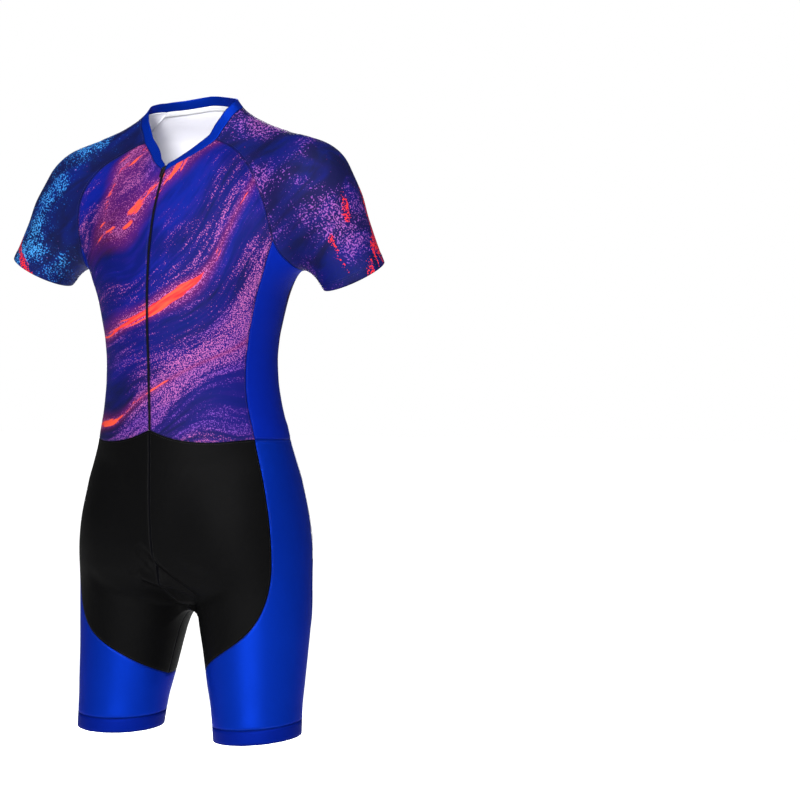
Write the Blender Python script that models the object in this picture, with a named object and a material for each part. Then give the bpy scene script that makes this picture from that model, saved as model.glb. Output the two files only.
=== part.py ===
"""A short-sleeved triathlon suit with a front zip, filled out as it is when it is worn.

Every seam is a line on one smooth figure, and a panel is the cloth that its seams enclose.
+X is the wearer's left, -Y the front and +Z up. The origin is the middle of the neck
opening at the height of the shoulders, where the wearer holds the suit up.
All sizes are in metres and all angles in degrees.
"""

import math

import bmesh
import bpy
import numpy as np
from mathutils import Vector

# ---------------------------------------------------------------- driving sizes

CLOTH = 0.0015  # wall of the knitted panels
RIB = 0.0020  # wall of the collar and of the leg bands
TAPE = 0.0010  # wall of woven tapes
SEAM_GAP = 0.0003  # space between two pieces that are sewn to each other

ZIP_SLOT = 0.0036  # between the two front edges
CHAIN_WIDTH = 0.0028
CHAIN_DEPTH = 0.0003  # the chain's face lies this far below the cloth's
CHAIN_WALL = 0.0012
CHAIN_SHORT = 0.0010  # it ends this far above the waist seam
ZIP_TAPE_WIDTH = 0.0200

SLIDER_AT = -0.0775  # height of the pull tab's pin, with the zip closed
SLIDER_LENGTH = 0.0090
SLIDER_WIDTH = 0.0046
SLIDER_THICKNESS = 0.0016
SLIDER_LIFT = 0.0003  # above the cloth
ARCH_WIDTH = 0.0016  # the arch on the slider that holds the pull tab
ARCH_LENGTH = 0.0044
ARCH_WALL = 0.0007
ARCH_HOLE_LENGTH = 0.0026
ARCH_HOLE_HEIGHT = 0.0019
TAB_LENGTH = 0.0135  # from the middle of the pin
TAB_WIDTH = 0.0042
TAB_END_WIDTH = 0.0034
TAB_THICKNESS = 0.0010
TAB_HOLE_WIDTH = 0.0022
TAB_HOLE_LENGTH = 0.0023
PIN = 0.0009  # the bar of the tab that runs under the arch
METAL_ROUNDING = 0.00018
TAB_END_ROUNDING = 0.0011

BAND_HEIGHT = 0.0200  # leg gripper
NECK_TAPE_HEIGHT = 0.0090
PIPING_WIDTH = 0.0024
PIPING_WALL = 0.0006
PIPING_END = -0.600  # height of its lower end

COLLAR_HEIGHT = 0.0140
COLLAR_FRONT_HEIGHT = 0.0075  # next to the zip
COLLAR_GROWS_OVER = 0.0450

# ---------------------------------------------------------------- the figure


def table(columns, *rows):
    """A short table with named columns."""
    return dict(zip(columns.split(), np.array(rows, float).T))


TORSO = table(
    "height half_width front back",
    (0.060, 0.050, 0.024, 0.038),
    (0.030, 0.061, 0.028, 0.047),
    (0.010, 0.075, 0.030, 0.057),
    (-0.001, 0.090, 0.031, 0.067),
    (-0.012, 0.112, 0.032, 0.078),
    (-0.025, 0.138, 0.034, 0.088),
    (-0.045, 0.153, 0.045, 0.098),
    (-0.070, 0.160, 0.070, 0.105),
    (-0.100, 0.162, 0.086, 0.108),
    (-0.150, 0.161, 0.104, 0.112),
    (-0.200, 0.157, 0.113, 0.111),
    (-0.250, 0.138, 0.116, 0.107),
    (-0.280, 0.130, 0.116, 0.102),
    (-0.306, 0.1245, 0.115, 0.098),
    (-0.334, 0.1225, 0.113, 0.094),
    (-0.361, 0.1235, 0.112, 0.095),
    (-0.389, 0.127, 0.111, 0.100),
    (-0.417, 0.1325, 0.110, 0.108),
    (-0.444, 0.139, 0.110, 0.115),
    (-0.472, 0.1445, 0.110, 0.119),
    (-0.500, 0.146, 0.111, 0.121),
    (-0.540, 0.1465, 0.110, 0.120),
    (-0.580, 0.145, 0.107, 0.114),
    (-0.610, 0.138, 0.100, 0.104),
    (-0.640, 0.112, 0.080, 0.084),
    (-0.662, 0.060, 0.040, 0.044),
    (-0.670, 0.015, 0.012, 0.014),
)
ARM = table(
    "along radius",  # from the shoulder's centre to the cuff and a little past it
    (0.000, 0.0600),
    (0.040, 0.0585),
    (0.080, 0.0515),
    (0.135, 0.0450),
    (0.200, 0.0420),
)
# The arms hang unevenly, the left one further back. 1 is the left arm and -1 the right one,
# which is mirrored when it is used.
SHOULDER = {1: np.array((0.185, -0.002, -0.098)), -1: np.array((0.181, 0.004, -0.102))}
CUFF = {1: np.array((0.246, 0.013, -0.222)), -1: np.array((0.256, 0.002, -0.206))}
CUFF_FACES = {1: np.array((0.25, 0.40, -0.88)), -1: np.array((0.48, 0.00, -0.88))}
LEG = table(
    "height across back half_width half_depth",
    (-0.450, 0.080, 0.004, 0.030, 0.035),
    (-0.500, 0.084, 0.004, 0.058, 0.080),
    (-0.560, 0.090, 0.003, 0.072, 0.095),
    (-0.610, 0.0935, 0.001, 0.078, 0.089),
    (-0.650, 0.0955, -0.002, 0.0785, 0.080),
    (-0.690, 0.0980, -0.005, 0.0765, 0.0755),
    (-0.730, 0.1015, -0.009, 0.0715, 0.0710),
    (-0.770, 0.1050, -0.014, 0.0670, 0.0660),
    (-0.805, 0.1085, -0.018, 0.0625, 0.0620),
    (-0.880, 0.1140, -0.024, 0.0590, 0.0585),
)
ARM_REACH = 0.160  # the arm ends this far from the shoulder, a little past the cuff
ARM_BLEND = 0.065
LEG_BLEND = 0.040
CROTCH_BLEND = 0.030
LEGS_ASIDE = 0.004  # the legs stand this far to the wearer's left of the trunk's middle
ASIDE_FROM, ASIDE_FULL = -0.540, -0.720  # heights between which they come to do so


def read(rows, column, at):
    """A table's column between its rows, along a smooth curve with no overshoot."""
    order = np.argsort(next(iter(rows.values())))
    xs, ys = next(iter(rows.values()))[order], rows[column][order]
    step = np.diff(xs)
    slope = np.diff(ys) / step
    tangent = np.zeros(len(ys))
    tangent[0], tangent[-1] = slope[0], slope[-1]
    turning = slope[:-1] * slope[1:] <= 0
    mean = 2 * slope[:-1] * slope[1:] / np.where(turning, 1, slope[:-1] + slope[1:])
    tangent[1:-1] = np.where(turning, 0, mean)
    row = np.clip(np.searchsorted(xs, at) - 1, 0, len(step) - 1)
    t = np.clip((at - xs[row]) / step[row], 0, 1)
    return (
        ys[row] * (1 + 2 * t) * (1 - t) ** 2
        + ys[row + 1] * t**2 * (3 - 2 * t)
        + step[row] * t * (1 - t) * (tangent[row] * (1 - t) - tangent[row + 1] * t)
    )


def from_oval(x, y, half_width, half_depth):
    """Distance from an upright oval wall, below zero inside it."""
    reach = np.hypot(x / half_width, y / half_depth) + 1e-9
    slope = np.hypot(x / half_width**2, y / half_depth**2) / reach
    return (reach - 1) / np.maximum(slope, 1 / np.maximum(half_width, half_depth))


def from_torso(p):
    x, y, z = p.T
    depth = np.where(y < 0, read(TORSO, "front", z), read(TORSO, "back", z))
    wall = from_oval(x, y, read(TORSO, "half_width", z), depth)
    return np.maximum(wall, TORSO["height"].min() - z)


def arm_axis(side):
    """The arm's direction, mirrored to the wearer's left if it is the right arm."""
    reach = CUFF[side] - SHOULDER[side]
    return reach / np.linalg.norm(reach)


def from_arm(p, side):
    axis = arm_axis(side)
    offset = p * (side, 1, 1) - SHOULDER[side]
    along = np.maximum(offset @ axis, 0)
    wall = np.linalg.norm(offset - along[:, None] * axis, axis=1) - read(ARM, "radius", along)
    return np.maximum(wall, along - ARM_REACH)


def from_leg(p, side):
    x, y, z = p.T
    wall = from_oval(
        side * x - read(LEG, "across", z),
        y - read(LEG, "back", z),
        read(LEG, "half_width", z),
        read(LEG, "half_depth", z),
    )
    return np.maximum(wall, z - LEG["height"].max())


def blended(a, b, reach):
    """The nearer of two distances, rounded where the two are within reach of each other."""
    share = np.maximum(reach - np.abs(a - b), 0) / reach
    return np.minimum(a, b) - share**2 * reach / 4


def from_figure(p):
    """Distance from the figure that the suit is worn on."""
    legs = blended(from_leg(p, 1), from_leg(p, -1), CROTCH_BLEND)
    body = blended(from_torso(p), legs, LEG_BLEND)
    return blended(blended(body, from_arm(p, 1), ARM_BLEND), from_arm(p, -1), ARM_BLEND)


def aside(height):
    """How far a point of the finished suit stands to the left of its place on the figure."""
    share = min(max((ASIDE_FROM - height) / (ASIDE_FROM - ASIDE_FULL), 0), 1)
    return LEGS_ASIDE * share**2 * (3 - 2 * share)


def steepest(p, reach=0.0005):
    """How fast the distance from the figure grows along X, Y and Z."""
    steps = reach * np.eye(3)
    return np.stack([from_figure(p + s) - from_figure(p - s) for s in steps], 1) / (2 * reach)


def outward(p):
    grown = steepest(p)
    return grown / np.linalg.norm(grown, axis=1)[:, None]


def settled(p):
    """Points moved straight onto the figure."""
    p = np.array(p, float).reshape(-1, 3)
    for _ in range(14):
        grown = steepest(p)
        p = p - (from_figure(p) / np.maximum((grown**2).sum(1), 0.25))[:, None] * grown
    return p


# ---------------------------------------------------------------- seams

LEFT, RIGHT = 1, -1
LEFT_LEG_LOWER = 0.002  # the left hem hangs this far below the mean, the right one above it

# Turns go round the body, or round the leg for the seams below the waist, from the front (0)
# over the outer side (90) to the back (180). The inner side of a leg is at -90 and at 270.
NECKLINE_FRONT = table(
    "turn height",
    (0, -0.078),
    (16, -0.067),
    (36, -0.053),
    (50, -0.043),
    (58, -0.036),
)
NECKLINE_SLEEVE = table(
    "turn height",
    (58, -0.036),
    (62, -0.030),
    (66, -0.021),
    (71, -0.011),
    (77, -0.001),
    (85, 0.006),
    (95, 0.010),
    (113, 0.013),
)
NECKLINE_BACK = table("turn height", (113, 0.013), (135, 0.016), (158, 0.019), (180, 0.021))
RAGLAN_FRONT = table(
    "across height",  # seen from the front, from the neck to the side panel
    (0.085, -0.045),
    (0.112, -0.064),
    (0.135, -0.090),
    (0.149, -0.120),
    (0.155, -0.150),
    (0.156, -0.175),
)
RAGLAN_BACK = table(
    "across height",  # seen from the back
    (0.092, -0.008),
    (0.115, -0.026),
    (0.138, -0.050),
    (0.158, -0.080),
    (0.170, -0.110),
    (0.175, -0.140),
    (0.176, -0.165),
)
UNDERARM_FRONT = table("across height", (0.159, -0.188))  # on from there to the underarm
UNDERARM_BACK = table("across height", (0.177, -0.180))
UNDERARM = 0.172  # how far out the seams meet under the arm
SIDE_FRONT = table(
    "height turn",
    (-0.213, 72),
    (-0.255, 71),
    (-0.320, 69),
    (-0.373, 67.5),
    (-0.441, 70.5),
)
SIDE_BACK = table(
    "height turn",
    (-0.228, 101.5),
    (-0.260, 101.5),
    (-0.314, 105.5),
    (-0.368, 109.5),
    (-0.443, 112),
)
WAIST_FRONT = table(
    "turn height",
    (0, -0.4285),
    (8, -0.4345),
    (20, -0.4410),
    (38, -0.4450),
    (70.5, -0.441),
)
WAIST_SIDE = table("turn height", (70.5, -0.441), (90, -0.442), (112, -0.443))
YOKE_TOP = table("turn height", (112, -0.443), (127, -0.441), (150, -0.4385), (180, -0.438))
YOKE_BOTTOM = table("turn height", (110.5, -0.572), (123, -0.565), (137, -0.559), (180, -0.557))
YOKE_SIDE = table("height turn", (-0.443, 112), (-0.473, 111.5), (-0.509, 111.5), (-0.572, 110.5))
THIGH_FRONT = table(
    "turn height",  # the black cloth's edge over the thigh, round the leg
    (49, -0.627),
    (42, -0.664),
    (29, -0.693),
    (7, -0.716),
    (-20, -0.734),
    (-50, -0.752),
    (-90, -0.766),
)
HIP_FRONT = table("height turn", (-0.441, 70.5), (-0.495, 71.5), (-0.544, 72), (-0.590, 71.5))
HIP_BACK = table("height turn", (-0.572, 110.5), (-0.600, 106))
THIGH_BACK = table(
    "turn height",
    (117.5, -0.628),
    (116.5, -0.665),
    (126, -0.697),
    (146, -0.724),
    (176, -0.745),
    (207, -0.758),
    (235, -0.763),
    (270, -0.766),
)
CROTCH_SEAM = table("pitch", (0,), (28,), (52,), (72,), (90,))
HIP_HEIGHT = -0.560
HEM = -0.841
HEM_SLOPE = 0.002  # how far each hem rises to the outer side
HEM_FRONT_DROP = 0.006  # and how far it falls to the front

FAR = 0.300  # a place outside the body, before or below it

STEPS_NECK = 8  # along half of the neckline or waist in front, and again at the back
STEPS_SLEEVE = 16  # round a sleeve
STEPS_RAGLAN = 8  # down to the side panel
STEPS_UNDERARM = 7  # from there to the underarm
STEPS_SIDE = 12
STEPS_YOKE = 4
STEPS_THIGH = 13
STEPS_TUBE = 4  # of a sleeve or leg below the point where its seams meet


def cast(start, heading):
    """Where rays from inside the figure leave it."""
    start, heading = np.broadcast_arrays(np.array(start, float), np.array(heading, float))
    start, heading = start.reshape(-1, 3), heading.reshape(-1, 3)
    gone = np.zeros(len(start))
    for _ in range(60):
        gone = gone - 0.8 * from_figure(start + gone[:, None] * heading)
    return settled(start + gone[:, None] * heading)


def round_body(side, turn, height):
    turn = np.radians(np.atleast_1d(turn))
    height = np.broadcast_to(height, turn.shape)
    heading = np.stack([side * np.sin(turn), -np.cos(turn), 0 * turn], 1)
    return cast(np.stack([0 * turn, 0 * turn, height], 1), heading)


def round_leg(side, turn, height):
    turn = np.radians(np.atleast_1d(turn))
    height = np.broadcast_to(height, turn.shape)
    heading = np.stack([side * np.sin(turn), -np.cos(turn), 0 * turn], 1)
    middle = np.stack([side * read(LEG, "across", height), read(LEG, "back", height), height], 1)
    return cast(middle, heading)


def through(points, steps, first=None):
    """Points an even way apart on a smooth line through the given ones, on the figure.

    A first step of its own length can be given.
    """
    points = np.array(points)
    way = np.concatenate([[0], np.cumsum(np.linalg.norm(np.diff(points, axis=0), axis=1))])
    slope = np.gradient(points, way, axis=0)
    fine = np.linspace(0, way[-1], 400)
    row = np.clip(np.searchsorted(way, fine) - 1, 0, len(way) - 2)
    step = (way[row + 1] - way[row])[:, None]
    t = ((fine - way[row]) / step[:, 0])[:, None]
    line = (
        points[row] * (1 + 2 * t) * (1 - t) ** 2
        + points[row + 1] * t**2 * (3 - 2 * t)
        + step * t * (1 - t) * (slope[row] * (1 - t) - slope[row + 1] * t)
    )
    way = np.concatenate([[0], np.cumsum(np.linalg.norm(np.diff(line, axis=0), axis=1))])
    at = np.linspace(0, way[-1], steps + 1)
    if first:
        at[1:] = np.linspace(first, way[-1], steps)
    line = np.stack([np.interp(at, way, line[:, k]) for k in range(3)], 1)
    line[1:-1] = settled(line[1:-1])
    return line


def joined(*lines):
    """Lines that follow each other, as one."""
    return np.concatenate([lines[0]] + [line[1:] for line in lines[1:]])


def facing(side, direction, rows):
    """Points of the figure seen from the front (-1) or the back (1)."""
    away = np.full(len(rows["across"]), FAR * direction)
    start = np.stack([side * rows["across"], away, rows["height"]], 1)
    return cast(start, (0, direction, 0))


def underarm_point(side):
    return cast((side * UNDERARM, SHOULDER[side][1], -FAR), (0, 0, -1))


def body_seam(rows, side, steps):
    return through(round_body(side, rows["turn"], rows["height"]), steps)


def middle_seam(start_height, facing, steps):
    """The seam down the front (-1) or the back (1) of the seat and under the crotch."""
    heights = np.linspace(start_height, HIP_HEIGHT, 5)[:-1]
    level = cast(np.stack([0 * heights, 0 * heights, heights], 1), (0, facing, 0))
    pitch = np.radians(CROTCH_SEAM["pitch"])
    heading = np.stack([0 * pitch, facing * np.cos(pitch), -np.sin(pitch)], 1)
    under = cast((0, 0, HIP_HEIGHT), heading)
    line = through(np.concatenate([level, under]), steps)
    line[:, 0] = 0
    return line


def thigh_seam(hip, thigh, side, steps):
    """An edge of the black cloth, from the hip round the thigh to the inner leg."""
    hip_points = round_body(side, hip["turn"], hip["height"])
    thigh_points = round_leg(side, thigh["turn"], thigh["height"])
    return through(np.concatenate([hip_points, thigh_points]), steps)


def ring(side, steps, height_of):
    """A closed line round a leg, from the inner side over the front to the inner side."""
    turn = np.linspace(-90, 270, 73)
    line = through(round_leg(side, turn, height_of(turn)), steps)
    line[-1] = line[0]
    return line


def hem_height(side, above=0.0):
    """The height of a leg's open end, or of a line above it, at any turn."""
    level = HEM - side * LEFT_LEG_LOWER + above

    def height(turn):
        angle = np.radians(turn)
        return level + HEM_SLOPE * np.sin(angle) - HEM_FRONT_DROP * np.cos(angle)

    return height


def arm_ring(side, start, steps, facing=None):
    """A closed line round the arm, from the given point on its inner side.

    It lies square to the arm, or square to another way that it can be given to face.
    """
    axis = arm_axis(side)
    offset = start * (side, 1, 1) - SHOULDER[side]
    middle = SHOULDER[side] + (offset @ axis) * axis
    down = start * (side, 1, 1) - middle
    down = down / np.linalg.norm(down)
    forward = np.cross(axis, down)
    forward = forward * (-1 if forward[1] > 0 else 1)
    turn = np.radians(np.linspace(0, 360, 73))[:, None]
    heading = np.cos(turn) * down + np.sin(turn) * forward
    if facing is not None:
        heading = heading - (heading @ facing)[:, None] * axis / (axis @ facing)
        heading /= np.linalg.norm(heading, axis=1)[:, None]
    line = through(cast(middle * (side, 1, 1), heading * (side, 1, 1)), steps)
    line[-1] = line[0]
    return line


def cuff_start(side):
    """The inner side of the sleeve's open end."""
    axis = arm_axis(side)
    inwards = np.array((axis[2], 0, -axis[0]))
    return cast(CUFF[side] * (side, 1, 1), inwards * (side, 1, 1))[0]


# ---------------------------------------------------------------- panels


def patch(top, bottom, left, right, held=1):
    """A grid of points on the figure between four seams that meet at their ends.

    Its inner rows are evened out from the one after the held ones.
    """
    down = np.linspace(0, 1, len(left))[:, None, None]
    across = np.linspace(0, 1, len(top))[None, :, None]
    corners = (
        (1 - down) * ((1 - across) * top[0] + across * top[-1])
        + down * ((1 - across) * bottom[0] + across * bottom[-1])
    )
    grid = (
        (1 - down) * top[None]
        + down * bottom[None]
        + (1 - across) * left[:, None]
        + across * right[:, None]
        - corners
    )
    for _ in range(6):
        grid[1:-1, 1:-1] = settled(grid[1:-1, 1:-1]).reshape(grid[1:-1, 1:-1].shape)
        across_mean = grid[held:-1, :-2] + grid[held:-1, 2:]
        down_mean = grid[held - 1 : -2, 1:-1] + grid[held + 1 :, 1:-1]
        grid[held:-1, 1:-1] = (across_mean + down_mean) / 4
    grid[1:-1, 1:-1] = settled(grid[1:-1, 1:-1]).reshape(grid[1:-1, 1:-1].shape)
    return grid


def tube(first, last, steps):
    """Rings from one closed line to another, the first one left out."""
    share = np.linspace(0, 1, steps + 1)[1:, None, None]
    grid = (1 - share) * first[None] + share * last[None]
    inner = settled(grid[:-1]).reshape(grid[:-1].shape)
    return np.concatenate([inner, grid[-1:]])


def material(name, color, roughness, metallic=0.0):
    made = bpy.data.materials.get(name) or bpy.data.materials.new(name)
    made.use_nodes = True
    shader = made.node_tree.nodes["Principled BSDF"]
    shader.inputs["Base Color"].default_value = (*color, 1)
    shader.inputs["Roughness"].default_value = roughness
    shader.inputs["Metallic"].default_value = metallic
    return made


def finished(name, mesh, finish):
    """An object of the finished mesh, shaded smooth but for its cut edges."""
    for corner in mesh.verts:
        corner.co.x += aside(corner.co.z)
    data = bpy.data.meshes.new(name)
    mesh.to_mesh(data)
    mesh.free()
    data.materials.append(finish)
    data.shade_smooth()
    data.set_sharp_from_angle(angle=math.radians(35))
    made = bpy.data.objects.new(name, data)
    bpy.context.scene.collection.objects.link(made)
    return made


def edges_drawn_in(mesh, points, normals, inset):
    """Points of the mesh, with those on its edges moved into the panel by the inset."""
    drawn = np.zeros_like(points)
    for edge in mesh.edges:
        if not edge.is_boundary:
            continue
        loop = edge.link_loops[0]
        tail, head = loop.vert.index, loop.link_loop_next.vert.index
        inwards = np.cross(normals[tail] + normals[head], points[head] - points[tail])
        inwards /= np.linalg.norm(inwards)
        centre = np.array(loop.face.calc_center_median())
        inwards *= np.sign(inwards @ (centre - points[tail]))
        drawn[tail] += inwards
        drawn[head] += inwards
    squared = np.maximum((drawn**2).sum(1), 0.5)
    return points + inset * drawn * (2 / squared)[:, None]


def cloth(name, grid, finish, wall=CLOTH, depth=0.0, normals=None):
    """A wall of cloth over a grid of points on the figure, its outer face depth inside it.

    Its edges are drawn in by half a seam gap, so two pieces that share a seam part there.
    """
    mesh = bmesh.new()
    corners = [[mesh.verts.new(point) for point in row] for row in grid]
    for upper, lower in zip(corners, corners[1:]):
        for k in range(len(upper) - 1):
            mesh.faces.new((upper[k], lower[k], lower[k + 1], upper[k + 1]))
    bmesh.ops.remove_doubles(mesh, verts=mesh.verts, dist=1e-6)
    mesh.verts.index_update()
    points = np.array([corner.co for corner in mesh.verts])
    normals = outward(points) if normals is None else normals.reshape(-1, 3)
    out = mesh.verts.layers.float_vector.new("out")
    drawn_in = edges_drawn_in(mesh, points, normals, SEAM_GAP / 2)
    for corner, point, normal in zip(mesh.verts, drawn_in, normals):
        corner.co, corner[out] = point, normal
    inner = list(mesh.verts)
    raised = bmesh.ops.extrude_face_region(mesh, geom=mesh.faces[:], use_keep_orig=True)
    outer = [item for item in raised["geom"] if isinstance(item, bmesh.types.BMVert)]
    for corners, inside in ((outer, depth), (inner, depth + wall)):
        for corner in corners:
            corner.co -= inside * corner[out]
    mesh.verts.layers.float_vector.remove(out)
    bmesh.ops.triangulate(mesh, faces=mesh.faces)
    bmesh.ops.recalc_face_normals(mesh, faces=mesh.faces)
    if mesh.calc_volume(signed=True) < 0:
        bmesh.ops.reverse_faces(mesh, faces=mesh.faces)
    return finished(name, mesh, finish)


# ---------------------------------------------------------------- finishes


def printed_knit():
    return material("printed_knit", (0.030, 0.025, 0.220), 0.62)


def sleeve_knit():
    return material("sleeve_knit", (0.020, 0.030, 0.150), 0.60)


def blue_knit():
    return material("blue_knit", (0.004, 0.028, 0.520), 0.45)


def side_knit():
    return material("side_knit", (0.003, 0.020, 0.340), 0.55)


def black_knit():
    return material("black_knit", (0.006, 0.006, 0.007), 0.60)


def charcoal_knit():
    return material("charcoal_knit", (0.014, 0.013, 0.024), 0.60)


def gripper_knit():
    return material("gripper_knit", (0.003, 0.022, 0.430), 0.50)


def white_tape():
    return material("white_tape", (0.780, 0.780, 0.800), 0.70)


def reflective_tape():
    return material("reflective_tape", (0.620, 0.630, 0.650), 0.35)


def black_tape():
    return material("black_tape", (0.010, 0.010, 0.012), 0.75)


def zip_metal():
    return material("zip_metal", (0.030, 0.030, 0.034), 0.35, 0.6)


# ---------------------------------------------------------------- the cut


def front_line(x, heights):
    """An upright line at x down the front of the figure."""
    heights = np.atleast_1d(heights)
    return cast(np.stack([0 * heights + x, 0 * heights, heights], 1), (0, -1, 0))


def seams_of(side):
    """Every seam of one half of the suit, from its top or its front end to the other."""
    cut = {}
    cut["neck_front"] = body_seam(NECKLINE_FRONT, side, STEPS_NECK)
    cut["neck_sleeve"] = body_seam(NECKLINE_SLEEVE, side, STEPS_SLEEVE)
    cut["neck_back"] = body_seam(NECKLINE_BACK, side, STEPS_NECK)
    under = underarm_point(side)
    for face, direction, neck, raglan, on, side_rows in (
        ("front", -1, "neck_front", RAGLAN_FRONT, UNDERARM_FRONT, SIDE_FRONT),
        ("back", 1, "neck_sleeve", RAGLAN_BACK, UNDERARM_BACK, SIDE_BACK),
    ):
        line = np.concatenate([cut[neck][-1:], facing(side, direction, raglan)])
        corner = line[-1:]
        below = round_body(side, side_rows["turn"], side_rows["height"])
        cut[f"raglan_{face}"] = through(line, STEPS_RAGLAN, NECK_TAPE_HEIGHT)
        cut[f"side_{face}"] = through(np.concatenate([corner, below]), STEPS_SIDE)
        on_to = np.concatenate([corner, facing(side, direction, on), under])
        cut[f"underarm_{face}"] = through(on_to, STEPS_UNDERARM)
    cut["waist_front"] = body_seam(WAIST_FRONT, side, STEPS_NECK)
    cut["waist_side"] = body_seam(WAIST_SIDE, side, 2 * STEPS_UNDERARM)
    cut["yoke_top"] = body_seam(YOKE_TOP, side, STEPS_NECK)
    cut["yoke_side"] = body_seam(YOKE_SIDE, side, STEPS_YOKE)
    cut["yoke_bottom"] = body_seam(YOKE_BOTTOM, side, STEPS_NECK)
    cut["middle_front"] = middle_seam(WAIST_FRONT["height"][0], -1, STEPS_YOKE + STEPS_THIGH)
    cut["middle_back"] = middle_seam(YOKE_BOTTOM["height"][-1], 1, STEPS_THIGH)
    cut["thigh_front"] = thigh_seam(HIP_FRONT, THIGH_FRONT, side, STEPS_YOKE + STEPS_THIGH)
    cut["thigh_back"] = thigh_seam(HIP_BACK, THIGH_BACK, side, STEPS_THIGH)
    crotch, inner_knee = cut["middle_front"][-1], cut["thigh_front"][-1]
    inner_leg = settled([crotch * (1 - t) + inner_knee * t for t in (0.35, 0.7)])
    cut["inner_leg"] = through([crotch, *inner_leg, inner_knee], STEPS_NECK)
    zip_ends = cut["neck_front"][0][2], cut["waist_front"][0][2]
    heights = np.linspace(*zip_ends, STEPS_RAGLAN + STEPS_SIDE + 1)
    heights[1:] = np.linspace(heights[0] - NECK_TAPE_HEIGHT, heights[-1], len(heights) - 1)
    cut["zip_edge"] = front_line(side * ZIP_SLOT / 2, heights)
    meet(cut)
    return cut


def meet(cut):
    """Gives seams that meet the same end point."""
    joints = (
        ("neck_sleeve", 0, "neck_front", -1),
        ("raglan_front", 0, "neck_front", -1),
        ("neck_back", 0, "neck_sleeve", -1),
        ("raglan_back", 0, "neck_sleeve", -1),
        ("underarm_front", 0, "raglan_front", -1),
        ("underarm_back", 0, "raglan_back", -1),
        ("underarm_back", -1, "underarm_front", -1),
        ("side_front", 0, "raglan_front", -1),
        ("side_back", 0, "raglan_back", -1),
        ("waist_front", -1, "side_front", -1),
        ("waist_side", 0, "side_front", -1),
        ("waist_side", -1, "side_back", -1),
        ("yoke_top", 0, "side_back", -1),
        ("yoke_side", 0, "side_back", -1),
        ("yoke_bottom", 0, "yoke_side", -1),
        ("thigh_front", 0, "side_front", -1),
        ("thigh_back", 0, "yoke_side", -1),
        ("thigh_back", -1, "thigh_front", -1),
        ("inner_leg", -1, "thigh_front", -1),
        ("middle_front", 0, "waist_front", 0),
        ("middle_back", 0, "yoke_bottom", -1),
        ("middle_back", -1, "middle_front", -1),
        ("inner_leg", 0, "middle_front", -1),
    )
    for line, end, other, other_end in joints:
        cut[line][end] = cut[other][other_end]


def with_start(line, start):
    """The line from another first point."""
    line = line.copy()
    line[0] = start
    return line


# ---------------------------------------------------------------- pieces


def front_grid(cut):
    """A printed front, from the zip to the side panel."""
    return patch(
        with_start(cut["neck_front"], cut["zip_edge"][0]),
        with_start(cut["waist_front"], cut["zip_edge"][-1]),
        cut["zip_edge"],
        joined(cut["raglan_front"], cut["side_front"]),
        held=2,
    )


def back_grid(left, right):
    """The printed back, between the raglan seams and down to the lower back panel."""
    return patch(
        joined(right["neck_back"], left["neck_back"][::-1]),
        joined(right["yoke_top"], left["yoke_top"][::-1]),
        joined(right["raglan_back"], right["side_back"]),
        joined(left["raglan_back"], left["side_back"]),
        held=2,
    )


def side_panel(name, cut):
    """The side of the trunk, from the underarm to the waist."""
    grid = patch(
        joined(cut["underarm_front"], cut["underarm_back"][::-1]),
        cut["waist_side"],
        cut["side_front"],
        cut["side_back"],
    )
    return cloth(name, grid, side_knit())


def sleeve(name, cut, side):
    """A raglan sleeve: open rows over the shoulder, then rings round the arm."""
    underarm = cut["underarm_front"][-1]
    first = arm_ring(side, underarm, STEPS_SLEEVE)
    last = arm_ring(side, cuff_start(side), STEPS_SLEEVE, CUFF_FACES[side])
    first[0] = first[-1] = underarm
    over = patch(
        cut["neck_sleeve"],
        first,
        joined(cut["raglan_front"], cut["underarm_front"]),
        joined(cut["raglan_back"], cut["underarm_back"]),
        held=2,
    )
    return cloth(name, np.concatenate([over, tube(first, last, STEPS_TUBE)]), sleeve_knit())


def shorts_front(name, cut):
    grid = patch(cut["waist_front"], cut["inner_leg"], cut["middle_front"], cut["thigh_front"])
    return cloth(name, grid, black_knit())


def seat_panel(name, cut):
    grid = patch(cut["yoke_bottom"][::-1], cut["inner_leg"], cut["middle_back"], cut["thigh_back"])
    return cloth(name, grid, black_knit())


def lower_back_panel(name, left, right):
    """The band across the small of the back."""
    grid = patch(
        joined(right["yoke_top"], left["yoke_top"][::-1]),
        joined(right["yoke_bottom"], left["yoke_bottom"][::-1]),
        right["yoke_side"],
        left["yoke_side"],
    )
    return cloth(name, grid, charcoal_knit())


def leg_panel(name, cut, side):
    """Blue cloth down the side of the hip, then all round the leg."""
    steps = 2 * STEPS_UNDERARM
    inner = cut["thigh_front"][-1]
    first = ring(side, steps, lambda turn: inner[2] + 0 * turn)
    first[0] = first[-1] = inner
    last = ring(side, steps, hem_height(side, BAND_HEIGHT))
    over = patch(
        cut["waist_side"],
        first,
        cut["thigh_front"],
        joined(cut["yoke_side"], cut["thigh_back"]),
    )
    return cloth(name, np.concatenate([over, tube(first, last, STEPS_TUBE)]), blue_knit())


def leg_band(name, side):
    """The gripper band at the leg's open end."""
    steps = 2 * STEPS_UNDERARM
    upper = ring(side, steps, hem_height(side, BAND_HEIGHT))
    lower = ring(side, steps, hem_height(side))
    return cloth(name, np.stack([upper, lower]), gripper_knit(), wall=RIB)


def beside(line, distance):
    """A line on the figure at a distance from another, to its upper side."""
    along = np.gradient(line, axis=0)
    across = np.cross(outward(line), along)
    across /= np.linalg.norm(across, axis=1)[:, None]
    return settled(line + np.reshape(distance, (-1, 1)) * across)


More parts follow.
